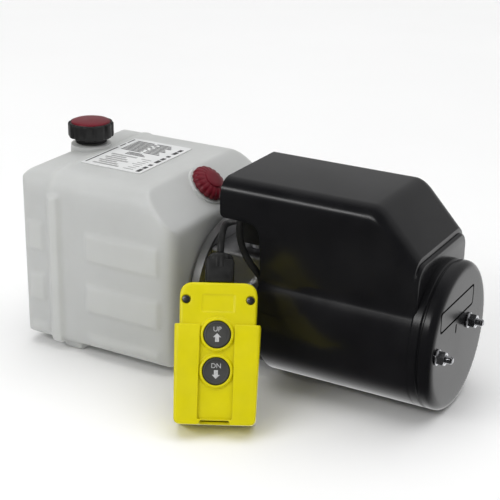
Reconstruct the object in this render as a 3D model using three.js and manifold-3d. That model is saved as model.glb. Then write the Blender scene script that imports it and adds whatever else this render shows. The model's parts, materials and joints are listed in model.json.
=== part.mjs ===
// Hydraulic power unit: oil reservoir, gear pump, valve manifold, covered DC motor and a
// wired push-button pendant standing in its holster beside the unit.
//
// Millimetres, +Z up. The parts are drawn in unit coordinates: X runs along the motor axis
// towards the motor's end disc, whose flat face is X = 0, and the axis is Y = 0, Z = 0.
// The outermost group then sets the unit on the floor with the origin under its middle.
import * as THREE from 'three';
import { mergeVertices } from 'three/addons/utils/BufferGeometryUtils.js';
import Module from 'manifold-3d';

const wasm = await Module();
wasm.setup();

// ---- Driving dimensions -----------------------------------------------------------------
const GAP = 0.3; // left between neighbours that touch
const AXIS_HEIGHT = 60; // motor axis above the floor
const ORIGIN_X = 178.4; // from the end disc's face back to the middle of the object
const ORIGIN_Y = 38.18; // from the motor axis to the middle of the object, towards the pendant

const COVER = {
  radius: 60,
  halfWidth: 50,
  top: 110,
  wall: 2.5,
  blend: 16, // hollow fillet between the box sides and the barrel
  topEdge: 14, // rounding of the long top edges
  lipEnd: -188,
  lipBottom: 79,
  notchX: -152.5,
  notchRadius: 13,
  bottomStart: -147,
  chamferStart: -54,
  boxEnd: -17.5,
  chamferBottom: 70.5,
};

const TANK = {
  farEnd: -367,
  motorEnd: -213.6,
  top: 97.4,
  bottom: -51.5,
  halfWidth: 80,
  wall: 3,
  chamferStart: -245.4,
  chamferBottom: 67,
  topEdge: 24,
  bottomEdge: 8,
  uprightEdge: 14,
  panelHeight: 2.2, // how far the side panels stand out
  bandHeight: 3.4, // how far the parting band stands out
  mouthRadius: 47,
};

const CAP = { x: -350, y: 3, neck: 13.6, radius: 19.8, bossHeight: 4.6, neckHeight: 5, bodyHeight: 13 };
const PORT = { along: 0.47, radius: 16.5, height: 10, hole: 9 };
const FLANGE = { start: -211, end: -203, radius: 60 };
const BLOCK = { start: -202.7, end: -150, halfWidth: 37, bottom: -45, top: 46 };
const PUMP = { start: -252, end: -211.3, halfWidth: 28, bottom: -38, top: 18 };
const GEAR = { teeth: 12, module: 1.75, pressure: 25, width: 14, backlash: 0.3, start: -236 };
const MOTOR = { start: -149.7, end: -11, radius: 56.5, wall: 5, head: 9 };
const SHAFT = 6; // radius
const STUDS = [[-48, 2.5], [17, 8]]; // where the cover's studs leave the end disc, Y and Z
const STUD = { radius: 3, tip: 13, hole: 3.4 };

const PENDANT = {
  x: -135,
  y: -146.5,
  turn: 27.5, // degrees about the vertical
  lean: 30, // degrees back from upright
  depth: 27,
  holsterTop: 65.8,
  holsterBottom: 61.6,
  holsterHeight: 75.6,
  wall: 2.3,
  slot: 13.2, // half-width of the window between the holster's wings
  handsetTop: 59.7,
  handsetBottom: 56,
  handsetHeight: 107.8,
  handsetFloor: 3,
  front: 2.7,
  back: 24.3,
  split: 13.5,
  buttons: [67.8, 40],
  buttonRadius: 10.3,
  ringRadius: 13.2,
  screwX: 24.6,
  screwZ: 94.4,
};

const CORD = 5.5; // diameter
const COIL = { x: -97.9, y: 130.2, middle: 64.6, turns: 4 };
const GROMMET = { x: -136, z: 60, hole: 6 };

// ---- Materials --------------------------------------------------------------------------
const material = (color, roughness, metalness = 0) =>
  new THREE.MeshStandardMaterial({ color, roughness, metalness });
const NATURAL_PLASTIC = material(0xd6d8d6, 0.45);
const BLACK_GLOSS = material(0x141414, 0.2);
const BLACK_PLASTIC = material(0x1a1a1a, 0.5);
const RED_PLASTIC = material(0x8c1a2c, 0.4);
const YELLOW_PLASTIC = material(0xdccb00, 0.45);
const GREY_BUTTON = material(0x444444, 0.5);
const CAST_ALUMINIUM = material(0xa5a7aa, 0.45, 0.9);
const STEEL = material(0x8a8d90, 0.4, 0.9);
const ZINC = material(0xc4c7cb, 0.3, 1);
const COPPER = material(0xb86f3d, 0.35, 0.9);
const CARBON = material(0x2b2b2e, 0.8);
const FERRITE = material(0x303234, 0.7);
const RUBBER = material(0x101010, 0.8);
const PAPER = material(0xf2f2f2, 0.7);

// ---- Solids -----------------------------------------------------------------------------

// A closed solid from any closed geometry, with its faces turned to point out.
function solid(geometry) {
  const bare = geometry.index ? geometry.toNonIndexed() : geometry.clone();
  bare.deleteAttribute('normal');
  bare.deleteAttribute('uv');
  const merged = mergeVertices(bare, 1e-4);
  const p = merged.attributes.position.array;
  const corners = [];
  for (let i = 0; i < merged.index.count; i += 3) {
    const [a, b, c] = [0, 1, 2].map((k) => merged.index.getX(i + k));
    if (a !== b && b !== c && c !== a) corners.push([a, b, c]);
  }
  const at = (i) => new THREE.Vector3().fromArray(p, 3 * i);
  const volume = corners.reduce((sum, [a, b, c]) => sum + at(a).dot(at(b).cross(at(c))), 0);
  const faces = volume < 0 ? corners.map(([a, b, c]) => [a, c, b]) : corners;
  return new wasm.Manifold(new wasm.Mesh({
    numProp: 3,
    vertProperties: new Float32Array(p),
    triVerts: new Uint32Array(faces.flat()),
  }));
}

function toGeometry(body) {
  const data = body.getMesh();
  const geometry = new THREE.BufferGeometry();
  geometry.setAttribute('position', new THREE.BufferAttribute(data.vertProperties, 3));
  geometry.setIndex(new THREE.BufferAttribute(data.triVerts, 1));
  geometry.computeVertexNormals();
  return geometry;
}

const joined = (first, ...others) => others.reduce((sum, other) => sum.add(other), first);
const cut = (first, ...others) => others.reduce((rest, other) => rest.subtract(other), first);
const common = (first, ...others) => others.reduce((rest, other) => rest.intersect(other), first);

function node(parent, name, body, finish) {
  const mesh = new THREE.Mesh(toGeometry(body), finish);
  mesh.name = name;
  parent.add(mesh);
  return mesh;
}

function placed(geometry, x, y, z, origin) {
  return geometry.applyMatrix4(new THREE.Matrix4().makeBasis(x, y, z).setPosition(...origin));
}

const X = new THREE.Vector3(1, 0, 0);
const Y = new THREE.Vector3(0, 1, 0);
const Z = new THREE.Vector3(0, 0, 1);

const prism = (shape, depth, curveSegments) =>
  new THREE.ExtrudeGeometry(shape, { depth, bevelEnabled: false, curveSegments });

// An outline in (Y, Z), drawn out along X between two stations.
const alongX = (shape, from, to, segments = 5) =>
  solid(placed(prism(shape, to - from, segments), Y, Z, X, [from, 0, 0]));

// An outline in (X, Z), drawn out along Y between two stations.
const alongY = (shape, from, to, segments = 6) =>
  solid(placed(prism(shape, to - from, segments), X, Z, Y.clone().negate(), [0, to, 0]));

// An outline in (X, Y), drawn up along Z between two stations.
const alongZ = (shape, from, to, segments = 6) =>
  solid(placed(prism(shape, to - from, segments), X, Y, Z, [0, 0, from]));

// A turned solid about the line through (y, z) along X. The profile is (station, radius).
const turnedX = (profile, sides, y = 0, z = 0) =>
  solid(placed(
    new THREE.LatheGeometry(profile.map(([s, r]) => new THREE.Vector2(r, s)), sides),
    Y, X, Z.clone().negate(), [0, y, z],
  ));

// A turned solid about the upright line through (x, y). The profile is (station, radius).
const turnedZ = (profile, sides, x = 0, y = 0) =>
  solid(placed(
    new THREE.LatheGeometry(profile.map(([s, r]) => new THREE.Vector2(r, s)), sides),
    X, Z, Y.clone().negate(), [x, y, 0],
  ));

// A turned solid about the line through (x, z) along Y. The profile is (station, radius).
const turnedY = (profile, sides, x = 0, z = 0) =>
  solid(placed(
    new THREE.LatheGeometry(profile.map(([s, r]) => new THREE.Vector2(r, s)), sides),
    X, Y, Z, [x, 0, z],
  ));

const rod = (from, to, radius) => [[from, 0], [from, radius], [to, radius], [to, 0]];
const ring = (from, to, inner, outer) =>
  [[from, inner], [from, outer], [to, outer], [to, inner], [from, inner]];

const block = (x0, x1, y0, y1, z0, z1) =>
  solid(new THREE.BoxGeometry(x1 - x0, y1 - y0, z1 - z0)
    .translate((x0 + x1) / 2, (y0 + y1) / 2, (z0 + z1) / 2));

// ---- Outlines ---------------------------------------------------------------------------

// A closed outline through corners [u, v, rounding radius].
function rounded(corners) {
  const shape = new THREE.Shape();
  corners.forEach(([u, v, radius = 0], i) => {
    const here = new THREE.Vector2(u, v);
    const before = new THREE.Vector2(...corners[(i + corners.length - 1) % corners.length]);
    const after = new THREE.Vector2(...corners[(i + 1) % corners.length]);
    const back = before.sub(here).normalize();
    const on = after.sub(here).normalize();
    const half = Math.acos(back.dot(on)) / 2;
    const run = radius / Math.tan(half);
    const start = here.clone().addScaledVector(back, run);
    const end = here.clone().addScaledVector(on, run);
    if (i === 0) shape.moveTo(start.x, start.y);
    else shape.lineTo(start.x, start.y);
    if (radius > 0) shape.quadraticCurveTo(here.x, here.y, end.x, end.y);
  });
  shape.closePath();
  return shape;
}

const rectangle = (u0, u1, v0, v1, radius = 0) =>
  rounded([[u0, v0, radius], [u1, v0, radius], [u1, v1, radius], [u0, v1, radius]]);

// A regular polygon about (u, v), by its width across the flats.
function polygon(u, v, sides, acrossFlats) {
  const radius = acrossFlats / 2 / Math.cos(Math.PI / sides);
  const at = (i) => (2 * Math.PI * (i + 0.5)) / sides;
  const point = (_, i) => [u + radius * Math.cos(at(i)), v + radius * Math.sin(at(i))];
  return rounded(Array.from({ length: sides }, point));
}

// ---- Motor cover ------------------------------------------------------------------------

// The cover's cross-section: a box standing on a barrel, moved in by an inset.
function keyhole(inset) {
  const radius = COVER.radius - inset;
  const half = COVER.halfWidth - inset;
  const top = COVER.top - inset;
  const edge = COVER.topEdge - inset;
  const blend = COVER.blend + inset;
  const blendZ = Math.sqrt((radius + blend) ** 2 - (half + blend) ** 2);
  const angle = Math.atan2(blendZ, half + blend);
  const shape = new THREE.Shape();
  shape.absarc(0, 0, radius, -Math.PI / 2, angle, false);
  shape.absarc(half + blend, blendZ, blend, Math.PI + angle, Math.PI, true);
  shape.absarc(half - edge, top - edge, edge, 0, Math.PI / 2, false);
  shape.absarc(edge - half, top - edge, edge, Math.PI / 2, Math.PI, false);
  shape.absarc(-half - blend, blendZ, blend, 0, -angle, true);
  shape.absarc(0, 0, radius, Math.PI - angle, 1.5 * Math.PI, false);
  return shape;
}

// The cover's side view, with the lip over the manifold and the notch below it.
const coverSide = () => rounded([
  [COVER.lipEnd, COVER.lipBottom, 5], [COVER.notchX, COVER.lipBottom, COVER.notchRadius],
  [COVER.bottomStart, -COVER.radius - 2], [COVER.boxEnd, -COVER.radius - 2],
  [COVER.boxEnd, COVER.chamferBottom, 3], [COVER.chamferStart, COVER.top, 9],
  [COVER.lipEnd, COVER.top, 3],
].reverse());

function coverHollow() {
  const { wall, boxEnd, chamferBottom, chamferStart, top, radius } = COVER;
  const slope = Math.atan2(top - chamferBottom, boxEnd - chamferStart);
  const back = wall * Math.tan(slope / 2);
  const side = rounded([
    [COVER.lipEnd - 20, -radius - 2], [boxEnd - wall, -radius - 2],
    [boxEnd - wall, chamferBottom - back], [chamferStart - back, top - wall],
    [COVER.lipEnd - 20, top - wall],
  ]);
  const box = common(
    alongX(keyhole(wall), COVER.lipEnd - 19, boxEnd, 6),
    alongY(side, -radius, radius),
  );
  return joined(box, turnedX(rod(COVER.lipEnd - 19, -wall - 0.5, radius - wall), 36));
}

function motorCover() {
  const { radius } = COVER;
  const box = common(
    alongX(keyhole(0), COVER.lipEnd, COVER.boxEnd, 6),
    alongY(coverSide(), -radius - 1, radius + 1),
  );
  const end = turnedX([
    [COVER.boxEnd - 6, 0], [COVER.boxEnd - 6, radius], [-12.2, radius], [-11.4, radius - 1.2],
    [-10.4, radius], [-6, radius], [-1.8, radius - 1.8], [0, radius - 6], [0, 0],
  ], 36);
  const frame = (inset) =>
    rectangle(-44 + inset, 26 - inset, 18.5 + inset, 36.5 - inset, 4 - inset);
  const groove = cut(alongX(frame(0), -0.8, 1), alongX(frame(1.4), -1, 2));
  const holes = STUDS.map(([y, z]) => turnedX(rod(-6, 1, STUD.hole), 12, y, z));
  const cordHole = turnedY(
    rod(COVER.halfWidth - 6, COVER.halfWidth + 6, GROMMET.hole), 16, GROMMET.x, GROMMET.z,
  );
  return cut(joined(box, end), coverHollow(), groove, cordHole, ...holes);
}

// ---- Reservoir --------------------------------------------------------------------------

// The tank's body, moved in by an inset: its side, end and plan outlines in common.
function tankBody(inset) {
  const { farEnd, motorEnd, top, bottom, halfWidth } = TANK;
  const slope = Math.atan2(top - TANK.chamferBottom, motorEnd - TANK.chamferStart);
  const x0 = farEnd + inset;
  const x1 = motorEnd - inset;
  const half = halfWidth - inset;
  const side = rounded([
    [x0, bottom + inset, TANK.bottomEdge - inset], [x1, bottom + inset, TANK.bottomEdge - inset],
    [x1, TANK.chamferBottom - inset * Math.tan(slope / 2), 10],
    [TANK.chamferStart - inset * Math.tan(slope / 2), top - inset, 10],
    [x0, top - inset, 16 - inset],
  ]);
  const end = rounded([
    [-half, bottom + inset, TANK.bottomEdge - inset], [half, bottom + inset, TANK.bottomEdge - inset],
    [half, top - inset, TANK.topEdge - inset], [-half, top - inset, TANK.topEdge - inset],
  ]);
  const plan = rectangle(x0, x1, -half, half, TANK.uprightEdge - inset);
  return common(
    alongY(side, -half, half, 4),
    alongX(end, x0, x1, 5),
    alongZ(plan, bottom + inset, top - inset, 3),
  );
}

// Raised panels on both flanks, in three rows either side of the parting band.
function tankPanels() {
  const rows = [[27.4, 54.6], [-18.1, 8.7], [-47, -36.5]];
  const stretches = [[-358, -340.5], [-299.5, -226]];
  const out = TANK.halfWidth + TANK.panelHeight;
  const panels = [];
  for (const [low, high] of rows) {
    for (const [from, to] of stretches) {
      const outline = [
        [0, low], [out - 2, low], [out, low + 2.4], [out, high - 2.4], [out - 2, high], [0, high],
      ];
      panels.push(alongX(rounded(outline), from, to));
      panels.push(alongX(rounded(outline.map(([y, z]) => [-y, z]).reverse()), from, to));
    }
  }
  return panels;
}

// The parting band: wide up both flanks, and a narrow rib where it crosses the top.
function tankBand() {
  const { halfWidth, bandHeight, top, topEdge } = TANK;
  const outline = (out, high, radius) => rounded([
    [-out, -53, 6], [out, -53, 6], [out, high, radius], [-out, high, radius],
  ]);
  return joined(
    alongX(outline(halfWidth + bandHeight, top - 17, 4), -334, -325),
    alongX(outline(halfWidth + 1, top + 1, topEdge + 1), -336, -332),
  );
}

// The chamfer's middle point and the direction it faces.
const chamferNormal = () => new THREE.Vector3(
  TANK.top - TANK.chamferBottom, 0, TANK.motorEnd - TANK.chamferStart,
).normalize();

function onChamfer(group) {
  const { chamferStart, motorEnd, top, chamferBottom } = TANK;
  const share = PORT.along;
  group.position.set(
    chamferStart + (motorEnd - chamferStart) * share, 0, top + (chamferBottom - top) * share,
  );
  group.quaternion.setFromUnitVectors(Z, chamferNormal());
  return group;
}

function moved(body, group) {
  group.updateMatrix();
  return body.transform(group.matrix.toArray());
}

function reservoir() {
  const neckTop = TANK.top + CAP.bossHeight;
  const neckBoss = turnedZ(rod(TANK.top - 6, neckTop, CAP.neck + 2.4), 24, CAP.x, CAP.y);
  const neckHole = turnedZ(rod(TANK.top - 12, neckTop + 1, CAP.neck - 2.2), 20, CAP.x, CAP.y);
  const seat = onChamfer(new THREE.Group());
  const portBoss = moved(turnedZ(rod(-4, 1.5, PORT.radius + 1.6), 24), seat);
  const portHole = moved(turnedZ(rod(-14, 3, PORT.hole), 20), seat);
  const foot = alongX(rounded([
    [-72, -AXIS_HEIGHT, 2], [72, -AXIS_HEIGHT, 2], [76, -44], [-76, -44],
  ]), -329, -311);
  const outside = joined(tankBody(0), tankBand(), foot, neckBoss, portBoss, ...tankPanels());
  const mouth = turnedX(rod(TANK.motorEnd - 12, TANK.motorEnd + 1, TANK.mouthRadius), 32);
  return cut(outside, tankBody(TANK.wall), mouth, neckHole, portHole);
}

function lobed(radius, lobes, depth) {
  const shape = new THREE.Shape();
  const steps = lobes * 3;
  for (let i = 0; i < steps; i += 1) {
    const angle = (2 * Math.PI * i) / steps;
    const r = radius - depth * (0.5 - 0.5 * Math.cos(angle * lobes)) ** 3;
    if (i === 0) shape.moveTo(r, 0);
    else shape.lineTo(r * Math.cos(angle), r * Math.sin(angle));
  }
  shape.closePath();
  return shape;
}

function addFillerCap(parent) {
  const group = new THREE.Group();
  group.position.set(CAP.x, CAP.y, TANK.top + CAP.bossHeight);
  parent.add(group);
  const bodyTop = CAP.neckHeight + CAP.bodyHeight;
  const skirt = turnedZ(rod(1.5, CAP.neckHeight + 1, CAP.neck), 24);
  const body = alongZ(lobed(CAP.radius, 12, 1.1), CAP.neckHeight, bodyTop);
  const recess = turnedZ(rod(bodyTop - 2.5, bodyTop + 1, CAP.radius - 2.4), 24);
  node(group, 'filler_cap', cut(joined(skirt, body), recess), BLACK_PLASTIC);
  const dome = CAP.radius - 2.7;
  node(group, 'filler_cap_top', turnedZ([
    [bodyTop - 2.2, 0], [bodyTop - 2.2, dome], [bodyTop + 0.4, dome], [bodyTop + 1.5, dome - 2.4],
    [bodyTop + 2.3, 0],
  ], 24), RED_PLASTIC);
  node(group, 'filler_gasket', turnedZ(ring(0.2, 1.3, CAP.neck - 2.8, CAP.neck), 20), RUBBER);
}

function addPortCap(parent) {
  const group = onChamfer(new THREE.Group());
  parent.add(group);
  const { radius, height } = PORT;
  const dome = turnedZ([
    [1.9, 0], [1.9, radius], [5, radius], [8, radius - 2], [height, radius - 6],
    [height + 1.5, 0],
  ], 24);
  const grip = alongZ(lobed(radius, 12, 1.6), 1, height + 3, 4);
  const plug = turnedZ(rod(-9, 3, PORT.hole - 0.6), 20);
  node(group, 'port_cap', joined(common(dome, grip), plug), RED_PLASTIC);
}

const tankLabel = () => block(-330.5, -270.5, -40, 42, TANK.top + GAP, TANK.top + 2 * GAP);

// ---- Flange, manifold and valves --------------------------------------------------------

const FLANGE_SCREWS = [[-43.2, 33], [43.2, 33], [43.2, -33], [-43.2, -33]];

function adapterFlange() {
  const { start, end, radius } = FLANGE;
  const body = turnedX([
    [start, 0], [start, radius - 1], [start + 1, radius], [end - 1, radius], [end, radius - 1],
    [end, 0],
  ], 36);
  const passage = block(start - 1, end + 1, -16, 16, -34, 14);
  const holes = FLANGE_SCREWS.map(([y, z]) => turnedX(rod(start - 1, end + 1, 3.3), 8, y, z));
  return cut(body, passage, ...holes);
}

const flangeScrew = (y, z) => joined(
  turnedX(rod(FLANGE.start + 0.5, FLANGE.end + 2, 2.8), 8, y, z),
  alongX(polygon(y, z, 6, 9), FLANGE.end + GAP, FLANGE.end + 5.3),
);

const RELIEF = { x: -188, z: -12 };
const CHECK = { x: -166, z: 14 };
const VALVE = { x: -170, y: -14 };
const MOUNT_HOLES = [[-188, -25], [-188, 25], [-164, -25], [-164, 25]];

function manifoldBlock() {
  const { start, end, halfWidth, bottom, top } = BLOCK;
  const body = alongX(rectangle(-halfWidth, halfWidth, bottom, top, 2.5), start, end, 2);
  return cut(
    body,
    turnedX(rod(start - 1, end + 1, 12), 16),
    turnedY(rod(-halfWidth - 1, -halfWidth + 16, 7.5), 20, RELIEF.x, RELIEF.z),
    turnedY(rod(-halfWidth - 1, -halfWidth + 14, 7.5), 20, CHECK.x, CHECK.z),
    turnedZ(rod(top - 20, top + 1, 7.5), 20, VALVE.x, VALVE.y),
    ...MOUNT_HOLES.map(([x, y]) => turnedZ(rod(bottom - 1, bottom + 12, 4), 24, x, y)),
  );
}

// A cartridge with a hexagon head, screwed into the manifold's near face.
function cartridge(x, z, reach) {
  const face = -BLOCK.halfWidth;
  const outside = rectangle(x - 8, x + 8, z - 8, z + 8);
  const head = common(
    alongY(polygon(x, z, 6, 15.8), face - 9, face - GAP),
    alongY(outside, face - 10, face + 1),
  );
  return joined(head, turnedY(rod(face - 1, face + reach, 7.1), 20, x, z),
    turnedY([[face - 11, 0], [face - 11, 5], [face - 8, 5.6], [face - 8, 0]], 16, x, z));
}

function addReleaseValve(parent) {
  const { x, y } = VALVE;
  const stem = turnedZ([
    [BLOCK.top - 18, 0], [BLOCK.top - 18, 7.1], [BLOCK.top + 1, 7.1], [BLOCK.top + 1, 9],
    [BLOCK.top + 5, 9], [BLOCK.top + 5, 5.5], [BLOCK.top + 48, 5.5], [BLOCK.top + 48, 0],
  ], 20, x, y);
  node(parent, 'valve_stem', stem, STEEL);
  const can = alongZ(rectangle(x - 15, x + 15, y - 15, y + 15, 5), BLOCK.top + 6, BLOCK.top + 42, 3);
  const lead = turnedX(rod(x + 12, x + 21, 4), 12, y, BLOCK.top + 30);
  const bore = turnedZ(rod(BLOCK.top, BLOCK.top + 50, 5.9), 20, x, y);
  node(parent, 'valve_coil', cut(joined(can, lead), bore), BLACK_PLASTIC);
  const hexagon = alongZ(polygon(x, y, 6, 17), BLOCK.top + 42.4, BLOCK.top + 50);
  node(parent, 'coil_nut', cut(hexagon, turnedZ(rod(0, BLOCK.top + 48.4, 5.8), 20, x, y)), ZINC);
}

// ---- Pump -------------------------------------------------------------------------------

const GEAR_SPACING = GEAR.teeth * GEAR.module;

// An external involute gear's outline, with its first tooth centred on +u.
function gearOutline(turn) {
  const { teeth, module: size, backlash } = GEAR;
  const pitch = (teeth * size) / 2;
  const pressure = THREE.MathUtils.degToRad(GEAR.pressure);
  const base = pitch * Math.cos(pressure);
  const tip = pitch + 0.9 * size;
  const root = pitch - 1.2 * size;
  const involute = (r) => Math.sqrt((r / base) ** 2 - 1) - Math.acos(base / r);
  const halfTooth = Math.PI / (2 * teeth) - backlash / (2 * pitch) + involute(pitch);
  const radii = [base + 0.01, pitch, tip];
  const points = [];
  for (let i = 0; i < teeth; i += 1) {
    const middle = turn + (2 * Math.PI * i) / teeth;
    const flank = radii.map((r) => [r, halfTooth - involute(r)]);
    const around = [[root, halfTooth], ...flank];
    around.forEach(([r, a]) => points.push([r, middle - a]));
    around.reverse().forEach(([r, a]) => points.push([r, middle + a]));
  }
  return rounded(points.map(([r, a]) => [r * Math.cos(a), r * Math.sin(a)]));
}

const gearWheel = (z, turn) => {
  const { start, width } = GEAR;
  return alongX(gearOutline(turn), start, start + width).translate([0, 0, z]);
};

const driveGear = () => joined(
  gearWheel(0, Math.PI / 2),
  turnedX(rod(PUMP.start + 6, -178, SHAFT), 20),
);

const drivenGear = () => joined(
  gearWheel(-GEAR_SPACING, Math.PI / 2 + Math.PI / GEAR.teeth),
  turnedX(rod(PUMP.start + 6, PUMP.end - 8, 5), 20, 0, -GEAR_SPACING),
);

function pumpBody() {
  const { start, end, halfWidth, bottom, top } = PUMP;
  const middle = GEAR.start - 0.4;
  const body = alongX(rectangle(-halfWidth, halfWidth, bottom, top, 8), middle, end, 4);
  const pocket = GEAR.module * (GEAR.teeth / 2 + 1.1);
  const chambers = [0, -GEAR_SPACING].map((z) =>
    turnedX(rod(middle - 1, GEAR.start + GEAR.width + 0.4, pocket), 24, 0, z));
  return {
    body: cut(body, ...chambers, turnedX(rod(start, end + 1, SHAFT + 0.4), 20),
      turnedX(rod(start, end - 7, 5.4), 20, 0, -GEAR_SPACING),
      turnedY(rod(-halfWidth - 1, 0, 5), 16, -229, -GEAR_SPACING / 2)),
    cover: cut(
      alongX(rectangle(-halfWidth, halfWidth, bottom, top, 8), start, middle - GAP, 4),
      turnedX(rod(start + 5, end, SHAFT + 0.4), 20),
      turnedX(rod(start + 5, end, 5.4), 20, 0, -GEAR_SPACING),
    ),
  };
}

// The pick-up pipe, bent down from the pump's inlet, with a round strainer at its end.
function suctionStrainer() {
  const x = -229;
  const z = -GEAR_SPACING / 2;
  const pipe = turnedY(rod(-50, -PUMP.halfWidth - GAP, 4.6), 16, x, z);
  const drop = turnedZ(rod(-38, z + 4.6, 4.6), 16, x, -48);
  const bell = turnedZ([
    [-44, 0], [-44, 9.5], [-37, 9.5], [-34, 6], [-34, 0],
  ], 24, x, -48);
  return joined(pipe, drop, bell);
}

// ---- Motor ------------------------------------------------------------------------------

const BARREL_START = MOTOR.start + MOTOR.head;
const BARREL_END = MOTOR.end - MOTOR.head;
const INNER = MOTOR.radius - MOTOR.wall;

function endHead() {
  const { end, radius, head } = MOTOR;
  const bosses = STUDS.map(([y, z]) => turnedX(rod(end - head + 2, end + 2, 6), 12, y, z));
  const plate = turnedX([
    [end - head, 0], [end - head, INNER - GAP], [end - head + 2, INNER - GAP],
    [end - head + 2, radius], [end - 3, radius], [end, radius - 4], [end, 0],
  ], 32);
  const socket = rod(end - head + 3, end + 3, STUD.radius + 0.3);
  const sockets = STUDS.map(([y, z]) => turnedX(socket, 12, y, z));
  const pocket = turnedX(rod(end - head - 1, end - 2.5, 9), 20);
  return cut(joined(plate, ...bosses), pocket, ...sockets);
}

function driveHead() {
  const { start, radius, head } = MOTOR;
  return cut(
    turnedX([
      [start, 0], [start, radius], [start + head - 2, radius], [start + head - 2, INNER - GAP],
      [start + head, INNER - GAP], [start + head, 0],
    ], 32),
    turnedX(rod(start - 1, start + head + 1, 11), 24),
  );
}

function magnet(middle) {
  const shape = new THREE.Shape();
  const half = THREE.MathUtils.degToRad(62);
  shape.absarc(0, 0, INNER - GAP, middle - half, middle + half, false);
  shape.absarc(0, 0, INNER - 8, middle + half, middle - half, true);
  return alongX(shape, -122, -46, 8);
}

function armatureCore() {
  const teeth = 12;
  const outer = INNER - 9.5;
  const points = [];
  for (let i = 0; i < teeth; i += 1) {
    const middle = (2 * Math.PI * i) / teeth;
    const corners = [[outer - 9, -0.2], [outer, -0.22], [outer, 0], [outer, 0.22], [outer - 9, 0.2]];
    corners.forEach(([r, a]) => points.push([r * Math.cos(middle + a), r * Math.sin(middle + a)]));
  }
  const bore = turnedX(rod(-119, -49, SHAFT + GAP), 20);
  return cut(alongX(rounded(points), -118, -50), bore);
}

function brushPlate() {
  return cut(
    turnedX(ring(-29, -26, 12, INNER - 4), 24),
    ...[-1, 1].map((s) => block(-30, -25, s > 0 ? 12 : -30, s > 0 ? 30 : -12, -5, 5)),
  );
}

const brush = (side) => block(-40, -27.4, side > 0 ? 18.6 : -29, side > 0 ? 29 : -18.6, -4.5, 4.5);

function startSolenoid() {
  const z = 82;
  const can = turnedX([
    [-112, 0], [-112, 19], [-111, 20], [-66, 20], [-66, 16], [-56, 15], [-56, 0],
  ], 24, 0, z);
  const posts = [-9, 9].map((y) => turnedX(rod(-57, -48, 3.2), 10, y, z + 2));
  const saddle = block(-104, -76, -14, 14, 57.2, 66);
  const well = turnedX(rod(-113, -100, 5.4), 16, 0, z);
  return cut(joined(can, saddle, ...posts), well);
}

const plunger = () => turnedX(rod(-118, -103.2, 4.9), 16, 0, 82);

const tube = (points, radius, sides, steps) => {
  const section = new THREE.Shape();
  for (let i = 0; i < sides; i += 1) {
    const a = (2 * Math.PI * i) / sides;
    if (i === 0) section.moveTo(radius, 0);
    else section.lineTo(radius * Math.cos(a), radius * Math.sin(a));
  }
  section.closePath();
  const path = new THREE.CatmullRomCurve3(points.map((p) => new THREE.Vector3(...p)));
  return solid(new THREE.ExtrudeGeometry(section, { steps, extrudePath: path, bevelEnabled: false }));
};

// The power lead from the solenoid's post down to the motor's brush end.
const motorLead = () => tube([
  [-47.6, 9, 84], [-45, 9, 84], [-41, 11, 83.5], [-35, 18, 80], [-31, 25, 72], [-28, 30, 63],
  [-26, 31.5, 58], [-25, 31.5, 57],
], 2.6, 8, 16);

function addMotor(parent) {
  node(parent, 'motor_barrel', turnedX(ring(
    BARREL_START - 1.7, BARREL_END + 1.7, INNER, MOTOR.radius,
  ), 36), BLACK_PLASTIC);
  node(parent, 'drive_head', driveHead(), CAST_ALUMINIUM);
  node(parent, 'end_head', endHead(), CAST_ALUMINIUM);
  node(parent, 'front_bearing', turnedX(ring(
    MOTOR.start + 1, MOTOR.start + 8, SHAFT + 0.05, 10.7,
  ), 24), STEEL);
  node(parent, 'rear_bearing', turnedX(ring(
    MOTOR.end - 9, MOTOR.end - 3, SHAFT + 0.05, 8.7,
  ), 24), STEEL);
  node(parent, 'magnet_left', magnet(Math.PI), FERRITE);
  node(parent, 'magnet_right', magnet(0), FERRITE);
  node(parent, 'brush_plate', brushPlate(), BLACK_PLASTIC);
  node(parent, 'brush_left', brush(-1), CARBON);
  node(parent, 'brush_right', brush(1), CARBON);
  node(parent, 'armature_core', armatureCore(), COPPER);
  node(parent, 'armature_shaft', turnedX(rod(-160, MOTOR.end - 4, SHAFT), 24), STEEL);
  node(parent, 'commutator', turnedX(ring(-46, -30, SHAFT + GAP, 18), 20), COPPER);
  node(parent, 'shaft_coupling', cut(
    turnedX(rod(-194, -152.5, 10.5), 24),
    turnedX(rod(-195, -177.6, SHAFT + 0.3), 20),
    turnedX(rod(-160.4, -150, SHAFT + 0.3), 20),
  ), STEEL);
}

function addCoverFixings(parent) {
  STUDS.forEach(([y, z], i) => {
    const inner = MOTOR.end - MOTOR.head + 3.6;
    node(parent, `cover_stud_${i + 1}`, turnedX(rod(inner, STUD.tip, STUD.radius), 16, y, z), ZINC);
    const nut = joined(
      alongX(polygon(y, z, 6, 10), 2, 7.4),
      turnedX(rod(GAP, 2.2, 6.4), 20, y, z),
    );
    const bore = turnedX(rod(-1, 9, STUD.radius + 0.3), 16, y, z);
    node(parent, `cover_nut_${i + 1}`, cut(nut, bore), ZINC);
  });
}

// ---- Pendant ----------------------------------------------------------------------------
// Drawn upright: X to its right, Y towards its back, Z up, from the front bottom edge.

function taper(low, high, lowWidth, highWidth, lowRadius, highRadius) {
  return rounded([
    [-lowWidth / 2, low, lowRadius], [lowWidth / 2, low, lowRadius],
    [highWidth / 2, high, highRadius], [-highWidth / 2, high, highRadius],
  ]);
}

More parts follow.
